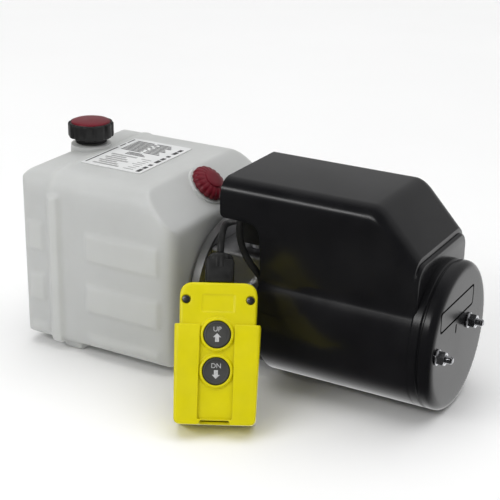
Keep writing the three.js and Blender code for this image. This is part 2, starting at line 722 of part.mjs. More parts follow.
function holster() {
  const { depth, wall, holsterTop, holsterBottom, holsterHeight, slot } = PENDANT;
  const body = common(
    alongY(taper(0, holsterHeight, holsterBottom, holsterTop, 4, 0), 0, depth, 4),
    alongZ(rectangle(-holsterTop / 2, holsterTop / 2, 0, depth, 4), -1, holsterHeight + 1, 4),
  );
  const inside = alongY(
    taper(wall, holsterHeight + 5, holsterBottom - 2 * wall, holsterTop - 2 * wall + 0.4, 2, 0),
    wall, depth - wall, 2,
  );
  const window = block(-slot, slot, -1, wall + 1, 4, holsterHeight + 1);
  const heel = block(-slot + 1, slot - 1, -1, 7, -1, 4.2);
  return cut(body, inside, window, heel);
}

const handsetOutline = (inset) => {
  const { handsetFloor, handsetHeight, handsetBottom, handsetTop } = PENDANT;
  return taper(handsetFloor + inset, handsetHeight - inset, handsetBottom - 2 * inset,
    handsetTop - 2 * inset, 4, 11 - inset);
};

// Half of the handset's case: a shallow tray with a softened outer edge.
function tray(outer, inner, wall) {
  const layer = (inset, from, to) =>
    alongY(handsetOutline(inset), Math.min(from, to), Math.max(from, to), 5);
  const out = Math.sign(inner - outer);
  const skin = [
    layer(1.6, outer, inner),
    layer(0, outer + out * 1.6, inner),
  ];
  const hollow = layer(wall, outer + out * wall, inner + out);
  return cut(joined(...skin), hollow);
}

function handsetFront() {
  const { front, split, buttons, ringRadius, buttonRadius, screwX, screwZ } = PENDANT;
  const rings = buttons.map((z) => turnedY([
    [front + 1, 0], [front + 1, ringRadius], [front - 1.6, ringRadius - 0.6],
    [front - 2.4, ringRadius - 1.6], [front - 2.4, 0],
  ], 24, 0, z));
  const holes = buttons.map((z) => turnedY(rod(front - 4, split, buttonRadius + 0.4), 24, 0, z));
  const panel = block(-12.5, 12.5, front - 1, front + 0.6, 85, 98.5);
  const recesses = [-screwX, screwX].map((x) =>
    turnedY(rod(front - 1, front + 1.6, 3.6), 12, x, screwZ));
  return cut(joined(tray(front, split, 2.2), ...rings), panel, ...holes, ...recesses);
}

function button(z) {
  const { front, buttonRadius } = PENDANT;
  return turnedY([
    [front - 2.6, 0], [front - 2.6, buttonRadius - 1.4], [front - 1.9, buttonRadius],
    [front + 3, buttonRadius], [front + 3, 6], [front + 6, 6], [front + 6, 0],
  ], 24, 0, z);
}

function cordGland() {
  const { handsetHeight, front, back } = PENDANT;
  const y = (front + back) / 2;
  const base = handsetHeight + GAP;
  const clamp = alongZ(rectangle(-11, 11, y - 9.5, y + 9.5, 3), base, base + 18, 3);
  const dome = turnedZ([
    [base + 17, 0], [base + 17, 10.2], [base + 20, 9], [base + 23.6, 5.4], [base + 24, 0],
  ], 24, 0, y);
  return cut(joined(clamp, dome), turnedZ(rod(base + 12, base + 26, CORD / 2 + GAP), 12, 0, y));
}

function pendantGroup() {
  const group = new THREE.Group();
  const lean = THREE.MathUtils.degToRad(PENDANT.lean);
  const turn = THREE.MathUtils.degToRad(PENDANT.turn);
  group.position.set(PENDANT.x, PENDANT.y, PENDANT.depth * Math.sin(lean) - AXIS_HEIGHT);
  group.rotation.set(-lean, 0, turn, 'ZYX');
  return group;
}

function addPendant(parent) {
  const group = pendantGroup();
  parent.add(group);
  const { front, back, split, buttons, screwX, screwZ } = PENDANT;
  node(group, 'holster', holster(), YELLOW_PLASTIC);
  node(group, 'handset_front', handsetFront(), YELLOW_PLASTIC);
  node(group, 'handset_back', tray(back, split + GAP, 2.2), YELLOW_PLASTIC);
  node(group, 'up_button', button(buttons[0]), GREY_BUTTON);
  node(group, 'down_button', button(buttons[1]), GREY_BUTTON);
  [-screwX, screwX].forEach((x, i) => {
    const head = turnedY([
      [front - 0.1, 0], [front - 0.1, 2.2], [front + 0.5, 3], [front + 1.3, 3], [front + 1.3, 0],
    ], 12, x, screwZ);
    node(group, `handset_screw_${i + 1}`, head, ZINC);
  });
  node(group, 'switch_block', block(-20, 20, front + 9.5, back - 3, 26, 82), BLACK_PLASTIC);
  node(group, 'cord_gland', cordGland(), RUBBER);
}

// ---- Ground lead ------------------------------------------------------------------------
// From the solenoid's end face, under the lip and down to a booted terminal on the manifold.
const GROUND_LEAD = [
  [-153.7, -41.5, 24.6], [-154.3, -42, 30.2], [-157.2, -43.8, 36.4], [-162, -45.4, 43],
  [-167.4, -46, 51.4], [-171.2, -46, 61.4], [-172.6, -45.4, 72], [-171, -43.8, 81.6],
  [-165.4, -41.2, 89.2], [-156.6, -37.8, 93.4], [-146.4, -33.2, 94.8], [-136.4, -26.6, 94.2],
  [-127.4, -18, 91.8], [-119.2, -12.6, 89.2], [-112.7, -12, 88.9],
];
const GROUND_RADIUS = 2.8;

const groundLead = () => tube(GROUND_LEAD, GROUND_RADIUS, 8, 26);

const groundBoot = () => joined(
  turnedZ([[12, 0], [12, 3.2], [24, 3.7], [24, 0]], 20, -153.7, -41.5),
  turnedY(rod(-41.5, -BLOCK.halfWidth - GAP, 3.2), 16, -153.7, 16),
);

// ---- Pendant cord -----------------------------------------------------------------------
// Out of the grommet in the cover's far side and down onto a coil behind the unit.
const CORD_DROP = [
  [-136, 68.8, 60], [-136, 71.8, 60], [-136.1, 79.7, 58.4], [-136.3, 87.5, 53.9],
  [-136.5, 93.3, 47], [-136.8, 96.5, 37.6], [-137.3, 98.5, 23.6], [-137.7, 100.5, 9.6],
  [-138.1, 102.5, -4.4], [-138.3, 104.5, -18.3], [-138.4, 107.7, -27.7], [-138.4, 114.2, -35.2],
];

// Up out of the gland, back under the cover's lip, over the manifold, out of the far side
// of the notch and down to the coil.
const CORD_RISE = [
  [-171, -77.4, 61.5], [-172.4, -74.6, 65.9], [-174.1, -71, 69.5], [-175.9, -66.8, 72.2],
  [-177.8, -62, 73.9], [-180, -56.6, 74.4], [-182.5, -50.4, 73.6], [-185.6, -42.2, 71.3],
  [-189.4, -31.5, 68.2], [-193.3, -17.5, 64], [-195.8, -2, 60], [-196, 14, 57],
  [-194.4, 29, 53.8], [-190.9, 42, 46.4], [-185.6, 52.8, 32.6], [-179, 61.8, 13], [-172, 70, -9],
  [-163.5, 77.5, -30], [-153.5, 83.5, -45.5], [-142.5, 87.8, -54], [-131, 89.4, -57],
  [-119.3, 89.6, -57.2],
];

const cordRise = () => tube(CORD_RISE, CORD / 2, 8, 42);
const cordDrop = () => tube(CORD_DROP, CORD / 2, 8, 16);

// A tapered strain relief through the cover's far side.
function cordGrommet() {
  const { x, z } = GROMMET;
  const wall = COVER.halfWidth;
  const body = turnedY([
    [wall - 5, 0], [wall - 5, 5.6], [wall + GAP, 5.6], [wall + GAP, 8], [wall + 3, 8],
    [wall + 5, 5.6], [wall + 18.4, 4.2], [wall + 18.4, 0],
  ], 20, x, z);
  return cut(body, turnedY(rod(wall - 6, wall + 20, CORD / 2 + GAP), 12, x, z));
}

function cordCoil() {
  const { x, y, middle, turns } = COIL;
  const inner = middle / 2 - (turns * CORD) / 2;
  const outer = middle / 2 + (turns * CORD) / 2;
  const floor = -AXIS_HEIGHT;
  return turnedZ(ring(floor, floor + turns * CORD, inner, outer), 32, x, y);
}

// ---- Assembly ---------------------------------------------------------------------------

const group = new THREE.Group();
const unit = new THREE.Group();
unit.position.set(ORIGIN_X, ORIGIN_Y, AXIS_HEIGHT);
group.add(unit);

node(unit, 'reservoir', reservoir(), NATURAL_PLASTIC);
node(unit, 'reservoir_gasket', turnedX(ring(
  TANK.motorEnd + GAP, FLANGE.start - GAP, 48.5, 51.5,
), 40), RUBBER);
node(unit, 'tank_label', tankLabel(), PAPER);
addFillerCap(unit);
addPortCap(unit);

node(unit, 'adapter_flange', adapterFlange(), CAST_ALUMINIUM);
FLANGE_SCREWS.forEach(([y, z], i) => node(unit, `flange_screw_${i + 1}`, flangeScrew(y, z), ZINC));
node(unit, 'manifold_block', manifoldBlock(), CAST_ALUMINIUM);
node(unit, 'relief_valve', cartridge(RELIEF.x, RELIEF.z, 15), ZINC);
node(unit, 'check_valve', cartridge(CHECK.x, CHECK.z, 13), ZINC);
addReleaseValve(unit);

const pump = pumpBody();
node(unit, 'pump_body', pump.body, CAST_ALUMINIUM);
node(unit, 'pump_cover', pump.cover, CAST_ALUMINIUM);
node(unit, 'drive_gear', driveGear(), STEEL);
node(unit, 'driven_gear', drivenGear(), STEEL);
node(unit, 'suction_strainer', suctionStrainer(), STEEL);

addMotor(unit);
node(unit, 'start_solenoid', startSolenoid(), STEEL);
node(unit, 'solenoid_plunger', plunger(), STEEL);
node(unit, 'motor_lead', motorLead(), RUBBER);
node(unit, 'ground_lead', groundLead(), RUBBER);
node(unit, 'ground_boot', groundBoot(), RUBBER);
node(unit, 'motor_cover', motorCover(), BLACK_GLOSS);
addCoverFixings(unit);

addPendant(unit);
node(unit, 'cord_grommet', cordGrommet(), RUBBER);
node(unit, 'cord_rise', cordRise(), RUBBER);
node(unit, 'cord_drop', cordDrop(), RUBBER);
node(unit, 'cord_coil', cordCoil(), RUBBER);

export default group;
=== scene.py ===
"""Hydraulic power unit: the looks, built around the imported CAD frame.

Shapes are drawn in millimetres, in the unit's own coordinates: X runs along the motor axis
and X = 0 is the cover's end disc, with the axis at Y = 0, Z = 0. The pendant's pieces are
drawn upright: X to its right, Y towards its back, Z up. UNIT and PENDANT place both.
"""

import json
import math

import bmesh
import bpy
from mathutils import Matrix, Vector


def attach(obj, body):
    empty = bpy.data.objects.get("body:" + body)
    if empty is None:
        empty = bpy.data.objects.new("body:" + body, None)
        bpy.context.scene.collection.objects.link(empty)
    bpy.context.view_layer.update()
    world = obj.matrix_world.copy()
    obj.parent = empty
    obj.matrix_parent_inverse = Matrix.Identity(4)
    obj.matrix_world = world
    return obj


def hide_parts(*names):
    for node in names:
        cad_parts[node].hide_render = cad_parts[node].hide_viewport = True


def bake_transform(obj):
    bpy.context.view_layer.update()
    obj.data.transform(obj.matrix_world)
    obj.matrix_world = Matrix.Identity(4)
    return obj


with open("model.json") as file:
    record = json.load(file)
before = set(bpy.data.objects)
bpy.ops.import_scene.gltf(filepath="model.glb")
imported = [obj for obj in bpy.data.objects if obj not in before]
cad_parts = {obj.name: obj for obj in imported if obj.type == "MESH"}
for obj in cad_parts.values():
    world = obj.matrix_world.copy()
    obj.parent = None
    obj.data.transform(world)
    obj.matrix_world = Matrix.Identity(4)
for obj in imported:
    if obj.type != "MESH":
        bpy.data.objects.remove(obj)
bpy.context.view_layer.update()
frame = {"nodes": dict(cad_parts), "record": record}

# ---- Driving dimensions, in millimetres ---------------------------------------------------
MM = 0.001
AXIS_HEIGHT = 60
UNIT = Matrix.Translation((0.1784, 0.03818, 0.06)) @ Matrix.Scale(MM, 4)
LEAN = math.radians(30)
TURN = math.radians(27.5)
HOLSTER_DEPTH = 27
PENDANT = (
    UNIT
    @ Matrix.Translation((-135, -146.5, HOLSTER_DEPTH * math.sin(LEAN) - AXIS_HEIGHT))
    @ Matrix.Rotation(TURN, 4, "Z")
    @ Matrix.Rotation(-LEAN, 4, "X")
)
COVER_RADIUS, COVER_HALF, COVER_TOP, COVER_WALL = 60, 50, 110, 2.5
COVER_EDGE, COVER_BLEND = 14, 16  # the radii of its top corners and its waist
RIDGE_SOFT = 7  # half the run over which its ridge is rounded
BEAD_RADIUS = 60.02  # a hair wider than the shell it closes
BORE_RADIUS = COVER_RADIUS - COVER_WALL
LIP_END, LIP_BOTTOM, BOX_END = -188, 79, -17.5
CHAMFER_START, CHAMFER_BOTTOM = -54, 70.5
TANK_START, TANK_END, TANK_TOP, TANK_BOTTOM, TANK_HALF = -367, -213.6, 97.4, -51.5, 80
TANK_WALL = 3
PANEL_RISE = 2.2
SHOULDER_START, SHOULDER_LOW = -245.4, 67  # where its slope starts, and its height at the end
PORT_ALONG = 0.47  # the part of the slope above the second cap's middle
CAP_X, CAP_Y, CAP_BASE = -350, 3, 102
FLANGE_START, FLANGE_END = -211, -203
FLANGE_SCREWS = ((-43.2, 33), (43.2, 33), (43.2, -33), (-43.2, -33))  # (y, z)
STUDS = ((-48, 2.5), (17, 8))  # (y, z)
TERMINAL_X, TERMINAL_Y = -153.7, -41.5
BUTTONS = (67.8, 40)  # heights up the pendant
CASE_SCREWS, CASE_SCREW_HEIGHT = (-24.6, 24.6), 94.4
CASE_WALL = 2.2  # the handset's, and how deep its rim is rounded
GLAND_BASE, GLAND_Y = 108.1, 13.5
HOLSTER_LOW, HOLSTER_HIGH = 61.6, 65.8  # the holster's widths at the bottom and the top
VALVE_X, VALVE_Y = -170, -14
GROMMET_X, GROMMET_Z = -136, 60
CORD = 5.5  # the pendant cord's diameter
CORE = 0.5  # a turned profile's radius up to this counts as on the axis


# ---- Meshes -------------------------------------------------------------------------------
def new_object(name, build):
    """An object whose mesh build() fills in, with every face turned to point out."""
    bm = bmesh.new()
    build(bm)
    bmesh.ops.remove_doubles(bm, verts=bm.verts, dist=1e-5)
    bmesh.ops.recalc_face_normals(bm, faces=bm.faces)
    mesh = bpy.data.meshes.new(name)
    bm.to_mesh(mesh)
    bm.free()
    obj = bpy.data.objects.new(name, mesh)
    bpy.context.collection.objects.link(obj)
    return obj


def loft(name, sections, closed=False):
    """A closed skin through sections of equal length; closed joins the last to the first."""
    def build(bm):
        rings = [[bm.verts.new(p) for p in section] for section in sections]
        pairs = list(zip(rings, rings[1:]))
        if closed:
            pairs.append((rings[-1], rings[0]))
        else:
            bm.faces.new(rings[0])
            bm.faces.new(rings[-1])
        for low, high in pairs:
            for i in range(len(low)):
                j = (i + 1) % len(low)
                bm.faces.new((low[i], low[j], high[j], high[i]))
    return new_object(name, build)


def along(axis, u, v, w):
    """A point at (u, v) in the plane across an axis, and w along it."""
    return {"x": (w, u, v), "y": (u, w, v), "z": (u, v, w)}[axis]


def prism(axis, outline, start, end):
    return loft("prism", [[along(axis, u, v, w) for u, v in outline] for w in (start, end)])


def turned(axis, profile, sides=96, centre=(0, 0), lobe=None):
    """A turned solid. The profile is (station, radius), from the axis or round in a loop."""
    def radius(r, angle):
        return r - lobe(angle) if lobe and r > CORE else r

    angles = [2 * math.pi * i / sides for i in range(sides)]
    sections = [
        [along(axis, centre[0] + radius(r, a) * math.cos(a),
               centre[1] + radius(r, a) * math.sin(a), station) for a in angles]
        for station, r in profile
    ]
    return loft("turned", sections, closed=profile[0][1] > CORE)


def arc(centre, radius, start, end, steps):
    """Points on an arc, with angles in degrees."""
    return [
        (centre[0] + radius * math.cos(math.radians(start + (end - start) * i / steps)),
         centre[1] + radius * math.sin(math.radians(start + (end - start) * i / steps)))
        for i in range(steps + 1)
    ]


def rounded(corners, steps=8):
    """A closed outline round corners (u, v, radius), eased by curves of about that radius."""
    outline = []
    count = len(corners)
    for i, (u, v, radius) in enumerate(corners):
        here = Vector((u, v))
        back = (Vector(corners[i - 1][:2]) - here).normalized()
        on = (Vector(corners[(i + 1) % count][:2]) - here).normalized()
        if radius == 0:
            outline.append((u, v))
            continue
        half = math.acos(max(-1, min(1, back.dot(on)))) / 2
        run = radius / math.tan(half)
        start, end = here + back * run, here + on * run
        for k in range(steps + 1):
            t = k / steps
            p = start * (1 - t) ** 2 + here * 2 * t * (1 - t) + end * t ** 2
            outline.append((p.x, p.y))
    return outline


def rectangle(u0, u1, v0, v1, radius=0, steps=6):
    return rounded([(u0, v0, radius), (u1, v0, radius), (u1, v1, radius), (u0, v1, radius)], steps)


def polygon(centre, sides, flats):
    """A regular polygon, flats across."""
    radius = flats / 2 / math.cos(math.pi / sides)
    return [
        (centre[0] + radius * math.cos(2 * math.pi * (i + 0.5) / sides),
         centre[1] + radius * math.sin(2 * math.pi * (i + 0.5) / sides))
        for i in range(sides)
    ]


def applied(obj):
    """The same object with its modifiers' result as its mesh."""
    graph = bpy.context.evaluated_depsgraph_get()
    mesh = bpy.data.meshes.new_from_object(obj.evaluated_get(graph))
    obj.modifiers.clear()
    obj.data = mesh
    return obj


def combined(operation, base, *others):
    for other in others:
        modifier = base.modifiers.new("combine", "BOOLEAN")
        modifier.operation = operation
        modifier.solver = "EXACT"
        modifier.object = other
    applied(base)
    for other in others:
        bpy.data.objects.remove(other)
    return base


def cut(base, *others):
    return combined("DIFFERENCE", base, *others)


def joined(base, *others):
    return combined("UNION", base, *others)


def common(base, *others):
    return combined("INTERSECT", base, *others)


def merged(base, *others):
    """One object holding several closed skins."""
    def build(bm):
        for obj in (base, *others):
            bm.from_mesh(obj.data)
    result = new_object(base.name, build)
    for obj in (base, *others):
        bpy.data.objects.remove(obj)
    return result


def softened(obj, voxel, rounds):
    """Remeshed into even faces, with every edge rounded as a moulding's is."""
    remesh = obj.modifiers.new("even", "REMESH")
    remesh.mode = "VOXEL"
    remesh.voxel_size = voxel
    smooth = obj.modifiers.new("soft", "SMOOTH")
    smooth.factor = 0.5
    smooth.iterations = rounds
    return applied(obj)


def bevelled(obj, width):
    bevel = obj.modifiers.new("edges", "BEVEL")
    bevel.width = width
    bevel.segments = 3
    bevel.limit_method = "ANGLE"
    bevel.angle_limit = math.radians(35)
    bevel.harden_normals = False
    return applied(obj)


def finished(obj, name, place, material, body, nodes=(), sharp=40):
    """Puts a piece in the row frame with its name, material, body and the nodes it replaces.

    Edges that turn by more than sharp degrees stay sharp.
    """
    obj.name = name
    obj.data.name = name
    obj.data.transform(place)
    obj.data.materials.clear()
    obj.data.materials.append(material)
    obj.data.polygons.foreach_set("use_smooth", [True] * len(obj.data.polygons))
    obj.data.set_sharp_from_angle(angle=math.radians(sharp))
    if body:
        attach(obj, body)
    if nodes:
        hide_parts(*nodes)
    return obj


# ---- Materials ----------------------------------------------------------------------------
class Finish:
    """A node material whose colour, roughness and bump vary over the surface."""

    def __init__(self, name, **sockets):
        self.material = bpy.data.materials.new(name)
        self.material.use_nodes = True
        self.nodes = self.material.node_tree.nodes
        self.shader = self.nodes["Principled BSDF"]
        for socket, value in sockets.items():
            self.shader.inputs[socket.replace("_", " ")].default_value = value
        self.place = self.nodes.new("ShaderNodeTexCoord").outputs["Object"]
        self.height = None

    def link(self, source, target):
        self.material.node_tree.links.new(source, target)

    def noise(self, scale, detail=4, rough=0.55, stretch=(1, 1, 1)):
        mapping = self.nodes.new("ShaderNodeMapping")
        mapping.inputs["Scale"].default_value = stretch
        self.link(self.place, mapping.inputs["Vector"])
        texture = self.nodes.new("ShaderNodeTexNoise")
        texture.inputs["Scale"].default_value = scale
        texture.inputs["Detail"].default_value = detail
        texture.inputs["Roughness"].default_value = rough
        self.link(mapping.outputs["Vector"], texture.inputs["Vector"])
        return texture.outputs["Fac"]

    def colours(self, source, *stops):
        """Base colour from a ramp over the source, with stops (position, colour)."""
        ramp = self.nodes.new("ShaderNodeValToRGB")
        elements = ramp.color_ramp.elements
        while len(elements) < len(stops):
            elements.new(0.5)
        for element, (position, colour) in zip(elements, stops):
            element.position = position
            element.color = (*colour, 1)
        self.link(source, ramp.inputs["Fac"])
        self.link(ramp.outputs["Color"], self.shader.inputs["Base Color"])

    def roughness(self, source, low, high):
        """Roughness from low to high as the source goes from 0.3 to 0.7."""
        span = self.nodes.new("ShaderNodeMapRange")
        for socket, value in (("From Min", 0.3), ("From Max", 0.7), ("To Min", low),
                              ("To Max", high)):
            span.inputs[socket].default_value = value
        self.link(source, span.inputs["Value"])
        self.link(span.outputs["Result"], self.shader.inputs["Roughness"])

    def bump(self, source, strength, distance):
        """A bump laid over those before it. The distance is in metres."""
        node = self.nodes.new("ShaderNodeBump")
        node.inputs["Strength"].default_value = strength
        node.inputs["Distance"].default_value = distance
        self.link(source, node.inputs["Height"])
        if self.height is not None:
            self.link(self.height, node.inputs["Normal"])
        self.height = node.outputs["Normal"]
        self.link(self.height, self.shader.inputs["Normal"])


def natural_plastic():
    """Milky blow-moulded polyethylene, a little cloudy, with fine moulding grain."""
    f = Finish("natural_plastic", Subsurface_Weight=0.35, Subsurface_Scale=0.02,
               Specular_IOR_Level=0.35, IOR=1.5)
    f.shader.inputs["Subsurface Radius"].default_value = (1.0, 0.98, 0.9)
    f.colours(f.noise(14, 5), (0.3, (0.55, 0.56, 0.545)), (0.7, (0.6, 0.61, 0.595)))
    f.roughness(f.noise(60, 4), 0.34, 0.5)
    f.bump(f.noise(38, 3), 0.10, 0.0012)
    f.bump(f.noise(900, 2), 0.10, 0.0002)
    return f.material


def gloss_black():
    """Glossy black moulding with orange peel, smears and a few fine scuffs."""
    f = Finish("gloss_black", Specular_IOR_Level=0.42, IOR=1.5)
    f.colours(f.noise(22, 6), (0.35, (0.006, 0.006, 0.007)), (0.7, (0.011, 0.011, 0.012)))
    f.roughness(f.noise(18, 8, 0.65), 0.17, 0.27)
    f.bump(f.noise(150, 3), 0.02, 0.0004)
    f.bump(f.noise(70, 8, 0.7, (1, 1, 9)), 0.015, 0.0004)
    return f.material


def moulded(name, dark, light, low, high, grain=0.12):
    """A moulded plastic with a fine spark texture."""
    f = Finish(name, Specular_IOR_Level=0.4, IOR=1.5)
    f.colours(f.noise(40, 5), (0.3, dark), (0.7, light))
    f.roughness(f.noise(90, 4), low, high)
    f.bump(f.noise(1600, 2), grain, 0.0002)
    f.bump(f.noise(120, 3), 0.05, 0.0004)
    return f.material


def machined(name, dark, light, low, high, stretch, scale=420, bump=0.12):
    """A turned, milled or plated metal with faint stains; stretch draws its marks out."""
    f = Finish(name, Metallic=1.0)
    f.colours(f.noise(30, 6), (0.3, dark), (0.7, light))
    f.roughness(f.noise(scale, 4, 0.6, stretch), low, high)
    f.bump(f.noise(scale, 3, 0.5, stretch), bump, 0.0003)
    return f.material


def cast(name, dark, light):
    """As-cast aluminium: pebbled, with darker pits."""
    f = Finish(name, Metallic=0.9)
    f.colours(f.noise(260, 6, 0.6), (0.32, dark), (0.6, light))
    f.roughness(f.noise(180, 4), 0.38, 0.6)
    f.bump(f.noise(520, 5, 0.6), 0.3, 0.0005)
    return f.material


def cord_rubber():
    """Matt black rubber, a little dusty, with a fine grain."""
    f = Finish("cord_rubber", Specular_IOR_Level=0.4)
    f.colours(f.noise(120, 5), (0.3, (0.010, 0.010, 0.010)), (0.75, (0.024, 0.024, 0.024)))
    f.roughness(f.noise(260, 4), 0.38, 0.6)
    f.bump(f.noise(900, 3), 0.15, 0.0003)
    return f.material


def label_film():
    """A white printed film with a slight waviness."""
    f = Finish("label_film", Specular_IOR_Level=0.3)
    f.colours(f.noise(50, 4), (0.3, (0.70, 0.71, 0.71)), (0.7, (0.78, 0.785, 0.785)))
    f.roughness(f.noise(200, 3), 0.35, 0.5)
    f.bump(f.noise(60, 2), 0.05, 0.0003)
    return f.material


def printed(name, tone):
    """Ink of one grey tone, a little uneven."""
    f = Finish(name, Specular_IOR_Level=0.3)
    dark = tuple(tone * 0.8 for _ in range(3))
    light = tuple(tone * 1.2 for _ in range(3))
    f.colours(f.noise(400, 4), (0.3, dark), (0.7, light))
    f.roughness(f.noise(300, 3), 0.4, 0.6)
    return f.material


TANK_PLASTIC = natural_plastic()
COVER_BLACK = gloss_black()
RUBBER = cord_rubber()
BLACK_PLASTIC = moulded("black_plastic", (0.010, 0.010, 0.010), (0.022, 0.022, 0.022),
                        0.32, 0.5)
RED_PLASTIC = moulded("red_plastic", (0.12, 0.005, 0.012), (0.165, 0.009, 0.02), 0.3, 0.44)
YELLOW_PLASTIC = moulded("yellow_plastic", (0.66, 0.585, 0.0), (0.73, 0.645, 0.0),
                         0.3, 0.44, 0.06)
GREY_RUBBER = moulded("button_grey", (0.045, 0.045, 0.042), (0.07, 0.07, 0.066), 0.4, 0.6)
ALUMINIUM = machined("milled_aluminium", (0.42, 0.42, 0.43), (0.56, 0.56, 0.57),
                     0.28, 0.5, (1, 9, 1))
CAST = cast("cast_aluminium", (0.3, 0.3, 0.31), (0.5, 0.5, 0.51))
ZINC = machined("zinc_plate", (0.58, 0.58, 0.6), (0.74, 0.75, 0.78),
                0.16, 0.32, (1, 1, 1), 700, 0.06)
DULL_ZINC = machined("dull_zinc", (0.2, 0.2, 0.2), (0.32, 0.32, 0.33),
                     0.35, 0.5, (1, 1, 1), 700, 0.1)
STEEL = machined("turned_steel", (0.3, 0.3, 0.31), (0.44, 0.44, 0.46), 0.25, 0.45, (9, 1, 1))
COPPER = machined("copper", (0.44, 0.2, 0.09), (0.62, 0.3, 0.15), 0.25, 0.45, (12, 1, 1))
FERRITE = moulded("ferrite", (0.03, 0.03, 0.032), (0.06, 0.06, 0.062), 0.55, 0.75)
CARBON = moulded("carbon", (0.02, 0.02, 0.021), (0.04, 0.04, 0.042), 0.5, 0.7)
LABEL_FILM = label_film()
DARK_INK = printed("dark_ink", 0.055)
GREY_INK = printed("grey_ink", 0.36)
LEGEND = printed("legend_ink", 0.5)

SLOT_MATERIALS = {
    "natural_plastic": TANK_PLASTIC, "rubber": RUBBER, "label_film": LABEL_FILM,
    "black_plastic": BLACK_PLASTIC, "red_plastic": RED_PLASTIC, "cast_aluminium": CAST,
    "zinc_plate": ZINC, "steel": STEEL, "painted_steel": BLACK_PLASTIC, "ferrite": FERRITE,
    "carbon": CARBON, "copper": COPPER, "gloss_black": COVER_BLACK,
    "yellow_plastic": YELLOW_PLASTIC, "grey_button": GREY_RUBBER,
}
MILLED_NODES = ("adapter_flange", "manifold_block")


def dress_cad_nodes():
    """Every CAD node gets its slot's material, and a small bevel on its sharp edges."""
    for part in frame["record"]["subparts"]:
        node = frame["nodes"][part["node"]]
        milled = part["node"] in MILLED_NODES
        node.data.materials.clear()
        node.data.materials.append(
            ALUMINIUM if milled else SLOT_MATERIALS[part["material_slot"]])
        bevel = node.modifiers.new("edges", "BEVEL")
        bevel.width = 0.0005
        bevel.segments = 2
        bevel.limit_method = "ANGLE"
        bevel.angle_limit = math.radians(50)


# ---- Camera, light and floor --------------------------------------------------------------
CAMERA_PLACE = (0.4818, -0.8489, 0.4923)
CAMERA_ANGLES = (28.98, 21.44, 0.957)  # yaw, pitch and roll in degrees
CAMERA_LENS = 93.85
SUNS = (  # name, direction it shines from, strength, degrees across
    ("key", (-0.5, -0.9, 1.5), 0.4, 50),
    ("top", (0.1, 0.35, 1.6), 1.85, 70),
    ("front_fill", (-0.5, -1, 0.3), 0.55, 60),
    ("end_fill", (1, -0.5, 0.45), 0.6, 60),
)
STRIP_PLACE, STRIP_TARGET = (-0.5, -1.2, 1.05), (0, 0, 0.12)
STRIP_SIZE, STRIP_POWER = (1.2, 0.25), 6
FLOOR_SIZE = 14


def add_camera():
    yaw, pitch, roll = (math.radians(a) for a in CAMERA_ANGLES)
    ahead = Vector((-math.sin(yaw) * math.cos(pitch), math.cos(yaw) * math.cos(pitch),
                    -math.sin(pitch)))
    right = Vector((math.cos(yaw), math.sin(yaw), 0))
    up = right.cross(ahead)
    across = right * math.cos(roll) + up * math.sin(roll)
    upright = up * math.cos(roll) - right * math.sin(roll)
    matrix = Matrix((across, upright, -ahead)).transposed().to_4x4()
    matrix.translation = CAMERA_PLACE
    data = bpy.data.cameras.new("camera")
    data.lens = CAMERA_LENS
    data.sensor_width = 36
    camera = bpy.data.objects.new("camera", data)
    camera.matrix_world = matrix
    bpy.context.collection.objects.link(camera)
    bpy.context.scene.camera = camera


def add_strip():
    """The one light that the glossy cover reflects."""
    data = bpy.data.lights.new("strip", "AREA")
    data.shape = "RECTANGLE"
    data.size, data.size_y = STRIP_SIZE
    data.energy = STRIP_POWER
    light = bpy.data.objects.new("strip", data)
    light.location = STRIP_PLACE
    direction = Vector(STRIP_TARGET) - Vector(STRIP_PLACE)
    light.rotation_euler = direction.to_track_quat("-Z", "Y").to_euler()
    bpy.context.collection.objects.link(light)


def add_sun(name, toward, strength, softness):
    """A wide soft light, the same over the whole floor, that reflections don't show."""
    data = bpy.data.lights.new(name, "SUN")
    data.energy = strength
    data.angle = math.radians(softness)
    light = bpy.data.objects.new(name, data)
    light.rotation_euler = Vector(toward).to_track_quat("Z", "Y").to_euler()
    light.visible_glossy = False
    bpy.context.collection.objects.link(light)


def add_world():
    """A studio that is light behind the object, lightest low down, and dark in front of it."""
    world = bpy.data.worlds.new("studio")
    bpy.context.scene.world = world
    world.use_nodes = True
    nodes, links = world.node_tree.nodes, world.node_tree.links
    coordinates = nodes.new("ShaderNodeTexCoord")
    split = nodes.new("ShaderNodeSeparateXYZ")
    links.new(coordinates.outputs["Generated"], split.inputs["Vector"])

    def ramp(axis, start, end, low, high):
        """From low to high as the direction's part along the axis goes from start to end."""
        span = nodes.new("ShaderNodeMapRange")
        span.interpolation_type = "SMOOTHSTEP"
        for socket, value in (("From Min", start), ("From Max", end), ("To Min", low),
                              ("To Max", high)):
            span.inputs[socket].default_value = value
        links.new(split.outputs[axis], span.inputs["Value"])
        return span.outputs["Result"]

    product = nodes.new("ShaderNodeMath")
    product.operation = "MULTIPLY"
    links.new(ramp("Y", -0.2, 0.55, 0.04, 1), product.inputs[0])
    links.new(ramp("Z", -0.25, 0.1, 1.0, 0.4), product.inputs[1])
    links.new(product.outputs["Value"], nodes["Background"].inputs["Color"])


def add_studio():
    add_camera()
    add_world()
    for sun in SUNS:
        add_sun(*sun)
    add_strip()
    bpy.ops.mesh.primitive_plane_add(size=FLOOR_SIZE)
    floor = bpy.context.object
    floor.name = "floor"
    floor.visible_glossy = False
    f = Finish("pale_floor", Specular_IOR_Level=0.1)
    f.colours(f.noise(3, 2), (0.3, (0.95, 0.95, 0.95)), (0.7, (0.97, 0.97, 0.97)))
    f.roughness(f.noise(20, 2), 0.8, 0.9)
    floor.data.materials.append(f.material)
    bpy.context.scene.view_settings.view_transform = "Standard"


